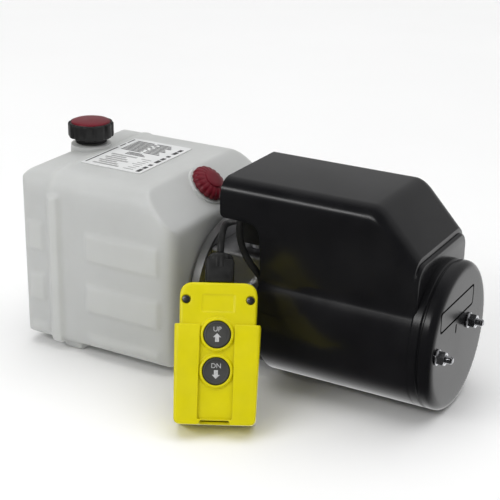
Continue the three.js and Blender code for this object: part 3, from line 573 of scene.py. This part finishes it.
# ---- Pendant cord -------------------------------------------------------------------------
# The routes are the CAD tubes' own points, in the unit's coordinates.
CORD_DROP = [
    (-136, 68.8, 60), (-136, 71.8, 60), (-136.1, 79.7, 58.4), (-136.3, 87.5, 53.9),
    (-136.5, 93.3, 47), (-136.8, 96.5, 37.6), (-137.3, 98.5, 23.6), (-137.7, 100.5, 9.6),
    (-138.1, 102.5, -4.4), (-138.3, 104.5, -18.3), (-138.4, 107.7, -27.7), (-138.4, 114.2, -35.2),
]
CORD_RISE = [
    (-171, -77.4, 61.5), (-172.4, -74.6, 65.9), (-174.1, -71, 69.5), (-175.9, -66.8, 72.2),
    (-177.8, -62, 73.9), (-180, -56.6, 74.4), (-182.5, -50.4, 73.6), (-185.6, -42.2, 71.3),
    (-189.4, -31.5, 68.2), (-193.3, -17.5, 64), (-195.8, -2, 60), (-196, 14, 57),
    (-194.4, 29, 53.8), (-190.9, 42, 46.4), (-185.6, 52.8, 32.6), (-179, 61.8, 13), (-172, 70, -9),
    (-163.5, 77.5, -30), (-153.5, 83.5, -45.5), (-142.5, 87.8, -54), (-131, 89.4, -57),
    (-119.3, 89.6, -57.2),
]
DROP_LANDING = (-138.4, 121.3, -39.1)  # between the coil's last turn and CORD_DROP's end
COIL_CENTRE = (-97.9, 130.2)
COIL_OUTER = 40.55  # to the middle of the outermost turn
COIL_TURNS = 3  # in each layer, besides the climb to the next one
COIL_CLIMBS = (0.3, 0.15, 0.3, 0)  # part of a turn that each layer's climb takes
TURN_STEPS = 36
FLOOR_GAP = 0.05


def layer_height(layer):
    """The height of the cord's middle in a layer of the coil, counted from 0."""
    return CORD / 2 - AXIS_HEIGHT + FLOOR_GAP + CORD * layer


def coil_points():
    """Turns wound in to the middle and out again, layer on layer, up from the floor."""
    points = []
    wound = 0
    for layer, climb in enumerate(COIL_CLIMBS):
        for i in range(round((COIL_TURNS + climb) * TURN_STEPS)):
            t = i / TURN_STEPS
            column = min(t, COIL_TURNS)
            if layer % 2:
                column = COIL_TURNS - column
            rise = max(0, t - COIL_TURNS) / climb if climb else 0
            rise = rise * rise * (3 - 2 * rise)
            angle = 2 * math.pi * (wound + t) - math.pi / 2
            radius = COIL_OUTER - CORD * column
            points.append((
                COIL_CENTRE[0] + radius * math.cos(angle),
                COIL_CENTRE[1] + radius * math.sin(angle),
                layer_height(layer + rise),
            ))
        wound += COIL_TURNS + climb
    return points


def smooth_route(points, step=2.5):
    """A Catmull-Rom curve through the points, sampled every step or so."""
    p = [Vector(q) for q in points]
    p = [p[0] * 2 - p[1]] + p + [p[-1] * 2 - p[-2]]
    route = []
    for a, b, c, d in zip(p, p[1:], p[2:], p[3:]):
        count = max(1, round((c - b).length / step))
        for k in range(count):
            t = k / count
            route.append(0.5 * (2 * b + (c - a) * t + (2 * a - 5 * b + 4 * c - d) * t ** 2
                                + (3 * b - a - 3 * c + d) * t ** 3))
    route.append(p[-2])
    return route


def tube(name, route, radius, sides=14):
    """A round tube along a route, its section carried along without twist."""
    sections = []
    ahead = (route[1] - route[0]).normalized()
    side = ahead.orthogonal().normalized()
    for i, place in enumerate(route):
        before, after = route[max(i - 1, 0)], route[min(i + 1, len(route) - 1)]
        ahead = (after - before).normalized()
        side = (side - ahead * side.dot(ahead)).normalized()
        up = ahead.cross(side)
        angles = [2 * math.pi * k / sides for k in range(sides)]
        sections.append([
            place + (side * math.cos(a) + up * math.sin(a)) * radius for a in angles
        ])
    return loft(name, sections)


def add_cord():
    top_layer = layer_height(len(COIL_CLIMBS) - 1)
    leave = [(COIL_CENTRE[0] - COIL_OUTER, COIL_CENTRE[1], top_layer), DROP_LANDING]
    route = smooth_route(CORD_RISE + coil_points() + leave + CORD_DROP[::-1])
    cord = tube("pendant_cord", route, CORD / 2)
    finished(cord, "pendant_cord", UNIT, RUBBER, None, ("cord_rise", "cord_drop", "cord_coil"),
             sharp=60)
    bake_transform(cord)


# ---- Ground lead --------------------------------------------------------------------------
GROUND_RADIUS = 2.8
GROUND_LEAD = [
    (TERMINAL_X, TERMINAL_Y, 24.6), (-154.3, -42, 30.2), (-157.2, -43.8, 36.4), (-162, -45.4, 43),
    (-167.4, -46, 51.4), (-171.2, -46, 61.4), (-172.6, -45.4, 72), (-171, -43.8, 81.6),
    (-165.4, -41.2, 89.2), (-156.6, -37.8, 93.4), (-146.4, -33.2, 94.8), (-136.4, -26.6, 94.2),
    (-127.4, -18, 91.8), (-119.2, -12.6, 89.2), (-112.7, -12, 88.9),
]


def add_ground_lead():
    lead = tube("ground_lead", smooth_route(GROUND_LEAD, 1.5), GROUND_RADIUS)
    finished(lead, "earth_lead", UNIT, RUBBER, "unit", ("ground_lead",), sharp=60)
    boot = turned("z", [
        (12, 0), (12, 2.6), (12.6, 3.2), (19, 3.4), (20, 3.7), (21, 3.5), (22, 3.7), (23, 3.4),
        (24, 3.1), (24, 0),
    ], 48, (TERMINAL_X, TERMINAL_Y))
    elbow = turned("y", [
        (TERMINAL_Y, 0), (TERMINAL_Y, 3.2), (-37.9, 3.2), (-37.3, 2.8), (-37.3, 0),
    ], 48, (TERMINAL_X, 16))
    finished(joined(boot, elbow), "terminal_boot", UNIT, RUBBER, "unit", ("ground_boot",),
             sharp=40)


# ---- Motor cover --------------------------------------------------------------------------
def keyhole(inset, top):
    """The cover's cross-section: a box standing on a barrel, moved in by an inset."""
    radius, half = COVER_RADIUS - inset, COVER_HALF - inset
    edge, blend = max(COVER_EDGE - inset, 1), COVER_BLEND + inset
    lift = math.sqrt((radius + blend) ** 2 - (half + blend) ** 2)
    angle = math.degrees(math.atan2(lift, half + blend))
    top -= inset
    outline = arc((0, 0), radius, -90, angle, 40)
    outline += arc((half + blend, lift), blend, 180 + angle, 180, 8)
    outline += arc((half - edge, top - edge), edge, 0, 90, 12)
    outline += [(-y, z) for y, z in reversed(outline[1:])]
    return outline


def roof(x):
    """The height of the cover's top at a station, with the ridge softly rounded."""
    slope = (COVER_TOP - CHAMFER_BOTTOM) / (BOX_END - CHAMFER_START)
    d = x - CHAMFER_START
    if d < -RIDGE_SOFT:
        return COVER_TOP
    if d > RIDGE_SOFT:
        return COVER_TOP - slope * d
    return COVER_TOP - slope * (d + RIDGE_SOFT) ** 2 / (4 * RIDGE_SOFT)


def box_shell(inset, start, end, soft):
    """The keyhole section drawn along the axis, with its end edge rounded by soft."""
    stations = [start, -160, -120, -90, -70]
    stations += [CHAMFER_START - RIDGE_SOFT + 2 * RIDGE_SOFT * i / 8 for i in range(9)]
    stations += [-40, -32, -26, end - soft - 0.5]
    sections = [[(x, y, z) for y, z in keyhole(inset, roof(x))] for x in stations]
    for i in range(7):
        bend = math.pi / 2 * i / 6
        x = end - soft + soft * math.sin(bend)
        pull = soft * (1 - math.cos(bend))
        sections.append([(x, y, z) for y, z in keyhole(inset + pull, roof(end) + pull * 0.3)])
    return loft("motor_cover", sections)


def notch():
    """What is cut away, seen from the side: below the lip and past its end."""
    outline = rounded([
        (-220, -75, 0), (-147, -75, 0), (-152.5, LIP_BOTTOM, 13), (LIP_END, LIP_BOTTOM, 5),
        (LIP_END, 100, 0), (-220, 100, 0),
    ])
    return prism("y", outline, -80, 80)


def cover_end():
    """The round end with its bead, its blank framed panel and the holes for the studs."""
    edge = 6.6
    profile = [
        (-19.4, 0), (-19.4, 59.0), (-18.9, BEAD_RADIUS), (-13.2, BEAD_RADIUS), (-12.6, 59.6),
        (-11.9, 58.6), (-11.2, 58.6), (-10.5, 59.6), (-9.9, BEAD_RADIUS), (-edge, BEAD_RADIUS),
    ]
    profile += [(-edge + edge * math.sin(a), BEAD_RADIUS - edge + edge * math.cos(a))
                for a in (math.pi / 20 * i for i in range(1, 11))]
    profile += [(0, 50), (0, 0)]
    body = turned("x", profile, 128)
    outer = rectangle(-44, 26, 18.5, 36.5, 4)
    inner = rectangle(-42.2, 24.2, 20.3, 34.7, 2.4)
    groove = cut(prism("x", outer, -1.2, 2), prism("x", inner, -2, 3))
    mark = prism("x", rectangle(-10.6, -8, 7, 14.6, 1.2), -0.8, 2)
    hollow = turned("x", [
        (-30, 0), (-30, BORE_RADIUS), (-5, BORE_RADIUS), (-3, 54), (-3, 0),
    ], 96)
    holes = [turned("x", [(-8, 0), (-8, 3.4), (2, 3.4), (2, 0)], 32, s) for s in STUDS]
    return cut(body, hollow, groove, mark, *holes)


def add_motor_cover():
    shell = box_shell(0, LIP_END, BOX_END, 3)
    hollow = box_shell(COVER_WALL, LIP_END - 20, BOX_END - COVER_WALL, 1)
    bore = turned("x", [(-220, 0), (-220, BORE_RADIUS), (-10, BORE_RADIUS), (-10, 0)], 128)
    cord_hole = turned("y", [(40, 0), (40, 6), (60, 6), (60, 0)], 32,
                       (GROMMET_X, GROMMET_Z))
    shell = cut(shell, hollow, notch(), cord_hole, bore)
    finished(merged(shell, cover_end()), "motor_cover_shell", UNIT, COVER_BLACK, "unit",
             ("motor_cover",), sharp=28)


def thread(axis, start, end, radius, pitch, centre):
    """A threaded rod: rings at the thread's pitch, with a chamfered tip."""
    profile = [(start, 0)]
    depth = 0.28 * pitch
    for i in range(int((end - 1 - start) / pitch)):
        x = start + i * pitch
        profile += [(x, radius - depth), (x + pitch * 0.45, radius), (x + pitch * 0.6, radius)]
    profile += [(end - 1, radius - depth), (end, radius - 0.9), (end, 0)]
    return turned(axis, profile, 40, centre)


def add_cover_fixings():
    for i, (y, z) in enumerate(STUDS, 1):
        rod = thread("x", -14.5, 13, 3, 1, (y, z))
        tilt = prism("x", rectangle(y - 0.45, y + 0.45, z - 4, z + 4), 11.4, 14)
        finished(cut(rod, tilt), f"slotted_stud_{i}", UNIT, ZINC, "unit",
                 (f"cover_stud_{i}",), sharp=30)
        crown = turned("x", [(1.6, 0), (1.6, 5.9), (6.6, 5.9), (7.4, 4.9), (7.4, 0)], 48, (y, z))
        hexagon = common(prism("x", polygon((y, z), 6, 10), 1.8, 7.4), crown)
        washer = turned("x", [
            (0.3, 0), (0.3, 6.2), (0.8, 6.4), (1.4, 6.3), (2.4, 4.9), (2.6, 0),
        ], 48, (y, z))
        bore = turned("x", [(-1, 0), (-1, 3.3), (9, 3.3), (9, 0)], 32, (y, z))
        nut = cut(joined(hexagon, washer), bore)
        finished(nut, f"flanged_nut_{i}", UNIT, ZINC, "unit", (f"cover_nut_{i}",),
                 sharp=30)


# ---- Reservoir ----------------------------------------------------------------------------
def tank_body(inset):
    """The tank without its panels and band, moved in by an inset."""
    x0, x1 = TANK_START + inset, TANK_END - inset
    low, high, half = TANK_BOTTOM + inset, TANK_TOP - inset, TANK_HALF - inset
    shift = inset * math.tan(
        math.atan2(TANK_TOP - SHOULDER_LOW, TANK_END - SHOULDER_START) / 2)
    side = rounded([
        (x0, low, 8 - inset), (x1, low, 8 - inset), (x1, SHOULDER_LOW - shift, 10),
        (SHOULDER_START - shift, high, 10), (x0, high, 16 - inset),
    ])
    end = rounded([
        (-half, low, 8 - inset), (half, low, 8 - inset), (half, high, 24 - inset),
        (-half, high, 24 - inset),
    ])
    plan = rectangle(x0, x1, -half, half, 14 - inset)
    return common(prism("y", side, -half, half), prism("x", end, x0, x1),
                  prism("z", plan, low, high))


def tank_panels():
    """The raised panels, in three rows of two on each side."""
    out = TANK_HALF + PANEL_RISE
    panels = []
    for low, high in ((27.4, 54.6), (-18.1, 8.7), (-47, -36.5)):
        for start, end in ((-358, -340.5), (-299.5, -226)):
            outline = rectangle(start, end, low, high, 2.5)
            inner = rectangle(start + 2, end - 2, low + 2.4, high - 2.4, 2)
            for side in (-1, 1):
                levels = ((0, outline), (TANK_HALF, outline), (out, inner))
                panels.append(loft("panel", [
                    [(u, side * level, v) for u, v in shape] for level, shape in levels
                ]))
    return panels


def tank_band():
    """The parting band, as a wide low rim with a narrow high one inside it."""
    def outline(out, high, radius):
        return rounded([(-out, -53, 6), (out, -53, 6), (out, high, radius), (-out, high, radius)])

    wide = prism("x", outline(TANK_HALF + 3.4, TANK_TOP - 17, 4), -334, -325)
    narrow = prism("x", outline(TANK_HALF + 1, TANK_TOP + 1, 25), -336, -332)
    return wide, narrow


def shoulder_frame():
    """Where the second cap sits: on the sloped shoulder, facing along its normal."""
    run, drop = TANK_END - SHOULDER_START, TANK_TOP - SHOULDER_LOW
    normal = Vector((drop, 0, run)).normalized()
    middle = Vector((SHOULDER_START + run * PORT_ALONG, 0, TANK_TOP - drop * PORT_ALONG))
    turn = Vector((0, 0, 1)).rotation_difference(normal).to_matrix().to_4x4()
    return Matrix.Translation(middle) @ turn


def placed(obj, matrix):
    obj.data.transform(matrix)
    return obj


def add_reservoir():
    foot = prism("x", rounded([
        (-72, -60, 2), (72, -60, 2), (76, -44, 0), (-76, -44, 0),
    ]), -329, -311)
    neck = turned("z", [(90, 0), (90, 18.4), (100.6, 17.6), (101.2, 16.2), (101.2, 0)], 64,
                  (CAP_X, CAP_Y))
    seat = placed(turned("z", [(-4, 0), (-4, 20), (0.6, 18.6), (1.5, 17.9), (1.5, 0)], 64),
                  shoulder_frame())
    tank = joined(tank_body(0), *tank_band(), foot, *tank_panels())
    tank = softened(tank, 1.5, 7)
    sharp = joined(neck, seat)
    hollow = joined(
        tank_body(TANK_WALL),
        turned("z", [(80, 0), (80, 11.4), (110, 11.4), (110, 0)], 48, (CAP_X, CAP_Y)),
        placed(turned("z", [(-14, 0), (-14, 9), (4, 9), (4, 0)], 48), shoulder_frame()),
        turned("x", [(-230, 0), (-230, 47), (-212, 47), (-212, 0)], 64),
    )
    tank = cut(joined(tank, sharp), hollow)
    finished(tank, "oil_tank", UNIT, TANK_PLASTIC, "unit", ("reservoir",),
             sharp=38)


def add_label():
    """A film with generic bars: rows of short lines, a heavy edge and pale blocks."""
    film = prism("z", rectangle(-330.5, -270.5, -40, 42, 1.5), TANK_TOP + 0.1, TANK_TOP + 0.6)
    finished(film, "label", UNIT, LABEL_FILM, "unit", ("tank_label",))
    base, top = TANK_TOP + 0.5, TANK_TOP + 0.68

    def bars(name, material, boxes):
        prisms = [prism("z", rectangle(*b), base, top) for b in boxes]
        finished(merged(*prisms), name, UNIT, material, "unit", ())

    dark = [(-328.6, -327.2, -36, 12), (-328.6, -327.2, 15, 24), (-328.6, -327.2, 27, 38)]
    for i in range(9):
        y = 9 + 3.2 * i
        split = -303 + 7 * math.sin(3.1 * i)
        dark += [(-323, split, y, y + 1.7), (split + 3, -284 - 2 * (i % 3), y, y + 1.7)]
    for i in range(3):
        dark.append((-312, -292 - 3 * i, -1 + 2.6 * i, 0.4 + 2.6 * i))
    for i in range(8):
        y = -37 + 9.2 * i
        dark.append((-277, -273.4, y, y + 7.4 - 1.8 * (i % 3)))
    bars("label_lines", DARK_INK, dark)
    pale = []
    for i in range(7):
        y = -35 + 4.6 * i
        pale.append((-322 + 3 * (i % 2), -296 - 4 * (i % 3), y, y + 2.6))
        pale.append((-291 + 2 * (i % 3), -281, y, y + 1.4))
    bars("label_blocks", GREY_INK, pale)


def flutes(count, depth, power=3):
    """Grip flutes for a turned piece: how far its radius is cut in at an angle."""
    return lambda a: depth * (0.5 - 0.5 * math.cos(a * count)) ** power


def add_filler_cap():
    place = UNIT @ Matrix.Translation((CAP_X, CAP_Y, CAP_BASE))
    body = turned("z", [
        (5, 0), (5, 18.4), (5.5, 19.4), (6.4, 19.8), (16.6, 19.8), (17.5, 19.2), (18, 18.2),
        (18, 0),
    ], 192, lobe=flutes(12, 1.0))
    collar = turned("z", [(1.5, 0), (1.5, 12.8), (2.2, 13.6), (6, 13.6), (6, 0)], 64)
    recess = turned("z", [(15.5, 0), (15.5, 17.4), (19, 17.4), (19, 0)], 96)
    finished(cut(joined(body, collar), recess), "filler_cap_body", place, BLACK_PLASTIC, "cap",
             ("filler_cap",), sharp=32)
    dome = [(15.8, 0), (15.8, 17.1), (18.0, 17.1), (18.7, 16.6), (19.2, 15.4)]
    dome += [(19.2 + 1.1 * (1 - (r / 15.4) ** 2), r) for r in (12, 8, 4, 0.6)] + [(20.3, 0)]
    finished(turned("z", dome, 96), "filler_cap_disc", place, RED_PLASTIC, "cap",
             ("filler_cap_top",), sharp=40)


def add_port_cap():
    place = UNIT @ shoulder_frame()
    skirt = turned("z", [
        (1.9, 0), (1.9, 15.8), (2.4, 16.4), (4.6, 16.4), (6.6, 15.6), (8.2, 14), (9.4, 11.6),
        (10.2, 8), (10.9, 4), (11.2, 0.6), (11.2, 0),
    ], 192, lobe=flutes(18, 0.8, 2))
    crown = turned("z", [(8, 0), (8, 8.6), (10.9, 8.4), (11.3, 7.6), (11.45, 4), (11.5, 0)], 96)
    plug = turned("z", [(-9, 0), (-9, 8.2), (3, 8.4), (3, 0)], 48)
    finished(joined(skirt, crown, plug), "port_cap_knob", place, RED_PLASTIC, "fill_port",
             ("port_cap",), sharp=34)


# ---- Flange and release valve -------------------------------------------------------------
def add_flange():
    body = turned("x", [
        (FLANGE_START, 0), (FLANGE_START, 59.2), (FLANGE_START + 0.8, 60),
        (FLANGE_END - 0.8, 60), (FLANGE_END, 59.2), (FLANGE_END, 0),
    ], 160)
    past, beyond = FLANGE_START - 2, FLANGE_END + 2
    passage = prism("x", rectangle(-16, 16, -34, 14, 2), past, beyond)
    holes = [turned("x", [(past, 0), (past, 3.3), (beyond, 3.3), (beyond, 0)], 24, centre)
             for centre in FLANGE_SCREWS]
    finished(cut(body, passage, *holes), "flange_plate", UNIT, ALUMINIUM, "unit",
             ("adapter_flange",), sharp=30)
    for i, centre in enumerate(FLANGE_SCREWS, 1):
        shank = thread("x", -210.5, -201, 2.8, 1, centre)
        cap = turned("x", [(-202.7, 0), (-202.7, 4.9), (-198.6, 4.9), (-197.7, 4), (-197.7, 0)],
                     40, centre)
        hexagon = common(prism("x", polygon(centre, 6, 9), -202.7, -197.7), cap)
        finished(joined(shank, hexagon), f"hex_screw_{i}", UNIT, ZINC, "unit",
                 (f"flange_screw_{i}",), sharp=30)


def add_valve_coil():
    x, y = VALVE_X, VALVE_Y
    can = bevelled(prism("z", rectangle(x - 15, x + 15, y - 15, y + 15, 5, 8), 52, 88), 1.6)
    lead = turned("x", [(x + 12, 0), (x + 12, 4), (x + 20.4, 4), (x + 21, 3.4), (x + 21, 0)], 40,
                  (y, 76))
    bore = turned("z", [(40, 0), (40, 5.9), (100, 5.9), (100, 0)], 48, (x, y))
    finished(cut(joined(can, lead), bore), "valve_solenoid", UNIT, BLACK_PLASTIC, "unit",
             ("valve_coil",), sharp=32)


# ---- Pendant ------------------------------------------------------------------------------
def taper(low, high, low_width, high_width, low_radius, high_radius):
    """A symmetrical outline that widens from low to high."""
    return rounded([
        (-low_width / 2, low, low_radius), (low_width / 2, low, low_radius),
        (high_width / 2, high, high_radius), (-high_width / 2, high, high_radius),
    ])


def add_holster():
    depth, wall, slot = HOLSTER_DEPTH, 2.3, 13.2
    body = common(
        prism("y", taper(0, 75.6, HOLSTER_LOW, HOLSTER_HIGH, 5, 0), 0, depth),
        prism("z", rectangle(-HOLSTER_HIGH / 2, HOLSTER_HIGH / 2, 0, depth, 4), -1, 77),
    )
    past_top = HOLSTER_HIGH + 0.4  # the taper's width a little above the rim
    inside = prism("y", taper(wall, 82, HOLSTER_LOW - 2 * wall, past_top - 2 * wall, 2, 0),
                   wall, depth - wall)
    window = prism("y", rectangle(-slot, slot, 4, 78), -1, wall + 1)
    heel = prism("y", rounded([
        (1 - slot, -2, 0), (slot - 1, -2, 0), (slot - 2.4, 3.2, 1), (2.4 - slot, 3.2, 1),
    ]), -1, 7)
    shell = cut(body, inside, window, heel)
    finished(softened(shell, 0.6, 3), "pendant_holster", PENDANT, YELLOW_PLASTIC, "unit",
             ("holster",), sharp=60)


def case_outline(inset):
    return taper(3 + inset, 107.8 - inset, 56 - 2 * inset, 59.7 - 2 * inset, 4, 11 - inset)


def case_half(outer, inner):
    """Half of the handset's case: a shallow tray with a rounded rim."""
    way = 1 if inner > outer else -1
    bed = outer + way * CASE_WALL
    levels = [
        (outer, CASE_WALL), (outer + way * 0.35, 1.0), (outer + way * 1.1, 0.3), (bed, 0),
        (inner, 0),
    ]
    body = loft("case", [[(u, y, v) for u, v in case_outline(inset)] for y, inset in levels])
    hollow = prism("y", case_outline(CASE_WALL), *sorted((bed, inner + way * 2)))
    return cut(body, hollow)


def add_handset():
    rings = [
        turned("y", [(3.7, 0), (3.7, 13.2), (1.3, 12.9), (0.6, 12.2), (0.3, 11.4), (0.3, 0)], 64,
               (0, z))
        for z in BUTTONS
    ]
    holes = [turned("y", [(-2, 0), (-2, 10.7), (13, 10.7), (13, 0)], 64, (0, z)) for z in BUTTONS]
    wells = [turned("y", [(1, 0), (1, 3.6), (4.3, 3.6), (4.3, 0)], 32, (x, CASE_SCREW_HEIGHT))
             for x in CASE_SCREWS]
    panel = prism("y", rectangle(-12.5, 12.5, 85, 98.5, 1), 1, 3.3)
    front = softened(cut(joined(case_half(2.7, 13.5), *rings), panel, *holes, *wells), 0.5, 2)
    finished(front, "handset_face", PENDANT, YELLOW_PLASTIC, "handset", ("handset_front",),
             sharp=60)
    finished(bevelled(case_half(24.3, 13.8), 0.4), "handset_rear", PENDANT, YELLOW_PLASTIC,
             "handset", ("handset_back",), sharp=32)
    z = CASE_SCREW_HEIGHT
    for i, x in enumerate(CASE_SCREWS, 1):
        head = turned("y", [(4, 0), (4, 3), (3.2, 3), (2.8, 2.4), (2.6, 0)], 40, (x, z))
        slots = [
            prism("y", rectangle(x - w, x + w, z - h, z + h), 2, 3.4)
            for w, h in ((0.35, 1.8), (1.8, 0.35))
        ]
        finished(cut(head, *slots), f"cross_screw_{i}", PENDANT, DULL_ZINC, "handset",
                 (f"handset_screw_{i}",), sharp=30)


def lettering(text, height, place_z):
    """Raised generic lettering on a button's face."""
    curve = bpy.data.curves.new(text, "FONT")
    curve.body = text
    curve.size = height
    curve.align_x = "CENTER"
    curve.align_y = "CENTER"
    curve.extrude = 0.12
    obj = bpy.data.objects.new(text, curve)
    bpy.context.collection.objects.link(obj)
    graph = bpy.context.evaluated_depsgraph_get()
    mesh = bpy.data.meshes.new_from_object(obj.evaluated_get(graph))
    bpy.data.objects.remove(obj)
    result = bpy.data.objects.new(text, mesh)
    bpy.context.collection.objects.link(result)
    turn = Matrix.Rotation(math.radians(90), 4, "X")
    return placed(result, Matrix.Translation((0, 0.9, place_z)) @ turn)


def arrow(middle, way):
    """A solid arrow pointing up or down the pendant."""
    half = [(0, 3.4), (3.1, 0.3), (1.5, 0.3), (1.5, -3.2)]
    outline = half + [(-u, v) for u, v in reversed(half[1:])]
    return prism("y", [(u, middle + way * v) for u, v in outline], 0.78, 1.05)


def add_buttons():
    for z, name, text, way in ((BUTTONS[0], "up", "UP", 1), (BUTTONS[1], "down", "DN", -1)):
        profile = [(8.7, 0), (8.7, 6), (5.7, 6), (5.7, 10.3), (1.6, 10.3), (0.9, 10.0), (0.5, 9.4),
                   (0.4, 8.9), (0.55, 8.5), (0.9, 8.2), (1.0, 0)]
        button = turned("y", profile, 80, (0, z))
        body = f"{name}_key"
        finished(button, f"{name}_push_button", PENDANT, GREY_RUBBER, body, (f"{name}_button",),
                 sharp=40)
        legend = merged(lettering(text, 5.2, z + 3.9), arrow(z - 2.4, way))
        finished(legend, f"{name}_legend", PENDANT, LEGEND, body, ())


def add_gland():
    base, y = GLAND_BASE, GLAND_Y
    clamp = bevelled(prism("z", rectangle(-11, 11, y - 9.5, y + 9.5, 3.4), base, base + 18), 1.0)
    dome = turned("z", [
        (base + 12, 0), (base + 12, 10.2), (base + 19, 10.2), (base + 20.6, 9.8), (base + 22, 8.8),
        (base + 23, 7.2), (base + 23.7, 5), (base + 23.9, 0),
    ], 160, (0, y), lobe=flutes(14, 0.5, 1))
    bore = turned("z", [(base + 10, 0), (base + 10, 3.05), (base + 30, 3.05), (base + 30, 0)], 32,
                  (0, y))
    finished(cut(joined(clamp, dome), bore), "strain_relief", PENDANT, RUBBER, "handset",
             ("cord_gland",), sharp=32)


# ---- Everything ---------------------------------------------------------------------------
add_studio()
dress_cad_nodes()
add_cord()
add_ground_lead()
add_motor_cover()
add_cover_fixings()
add_reservoir()
add_label()
add_filler_cap()
add_port_cap()
add_flange()
add_valve_coil()
add_holster()
add_handset()
add_buttons()
add_gland()
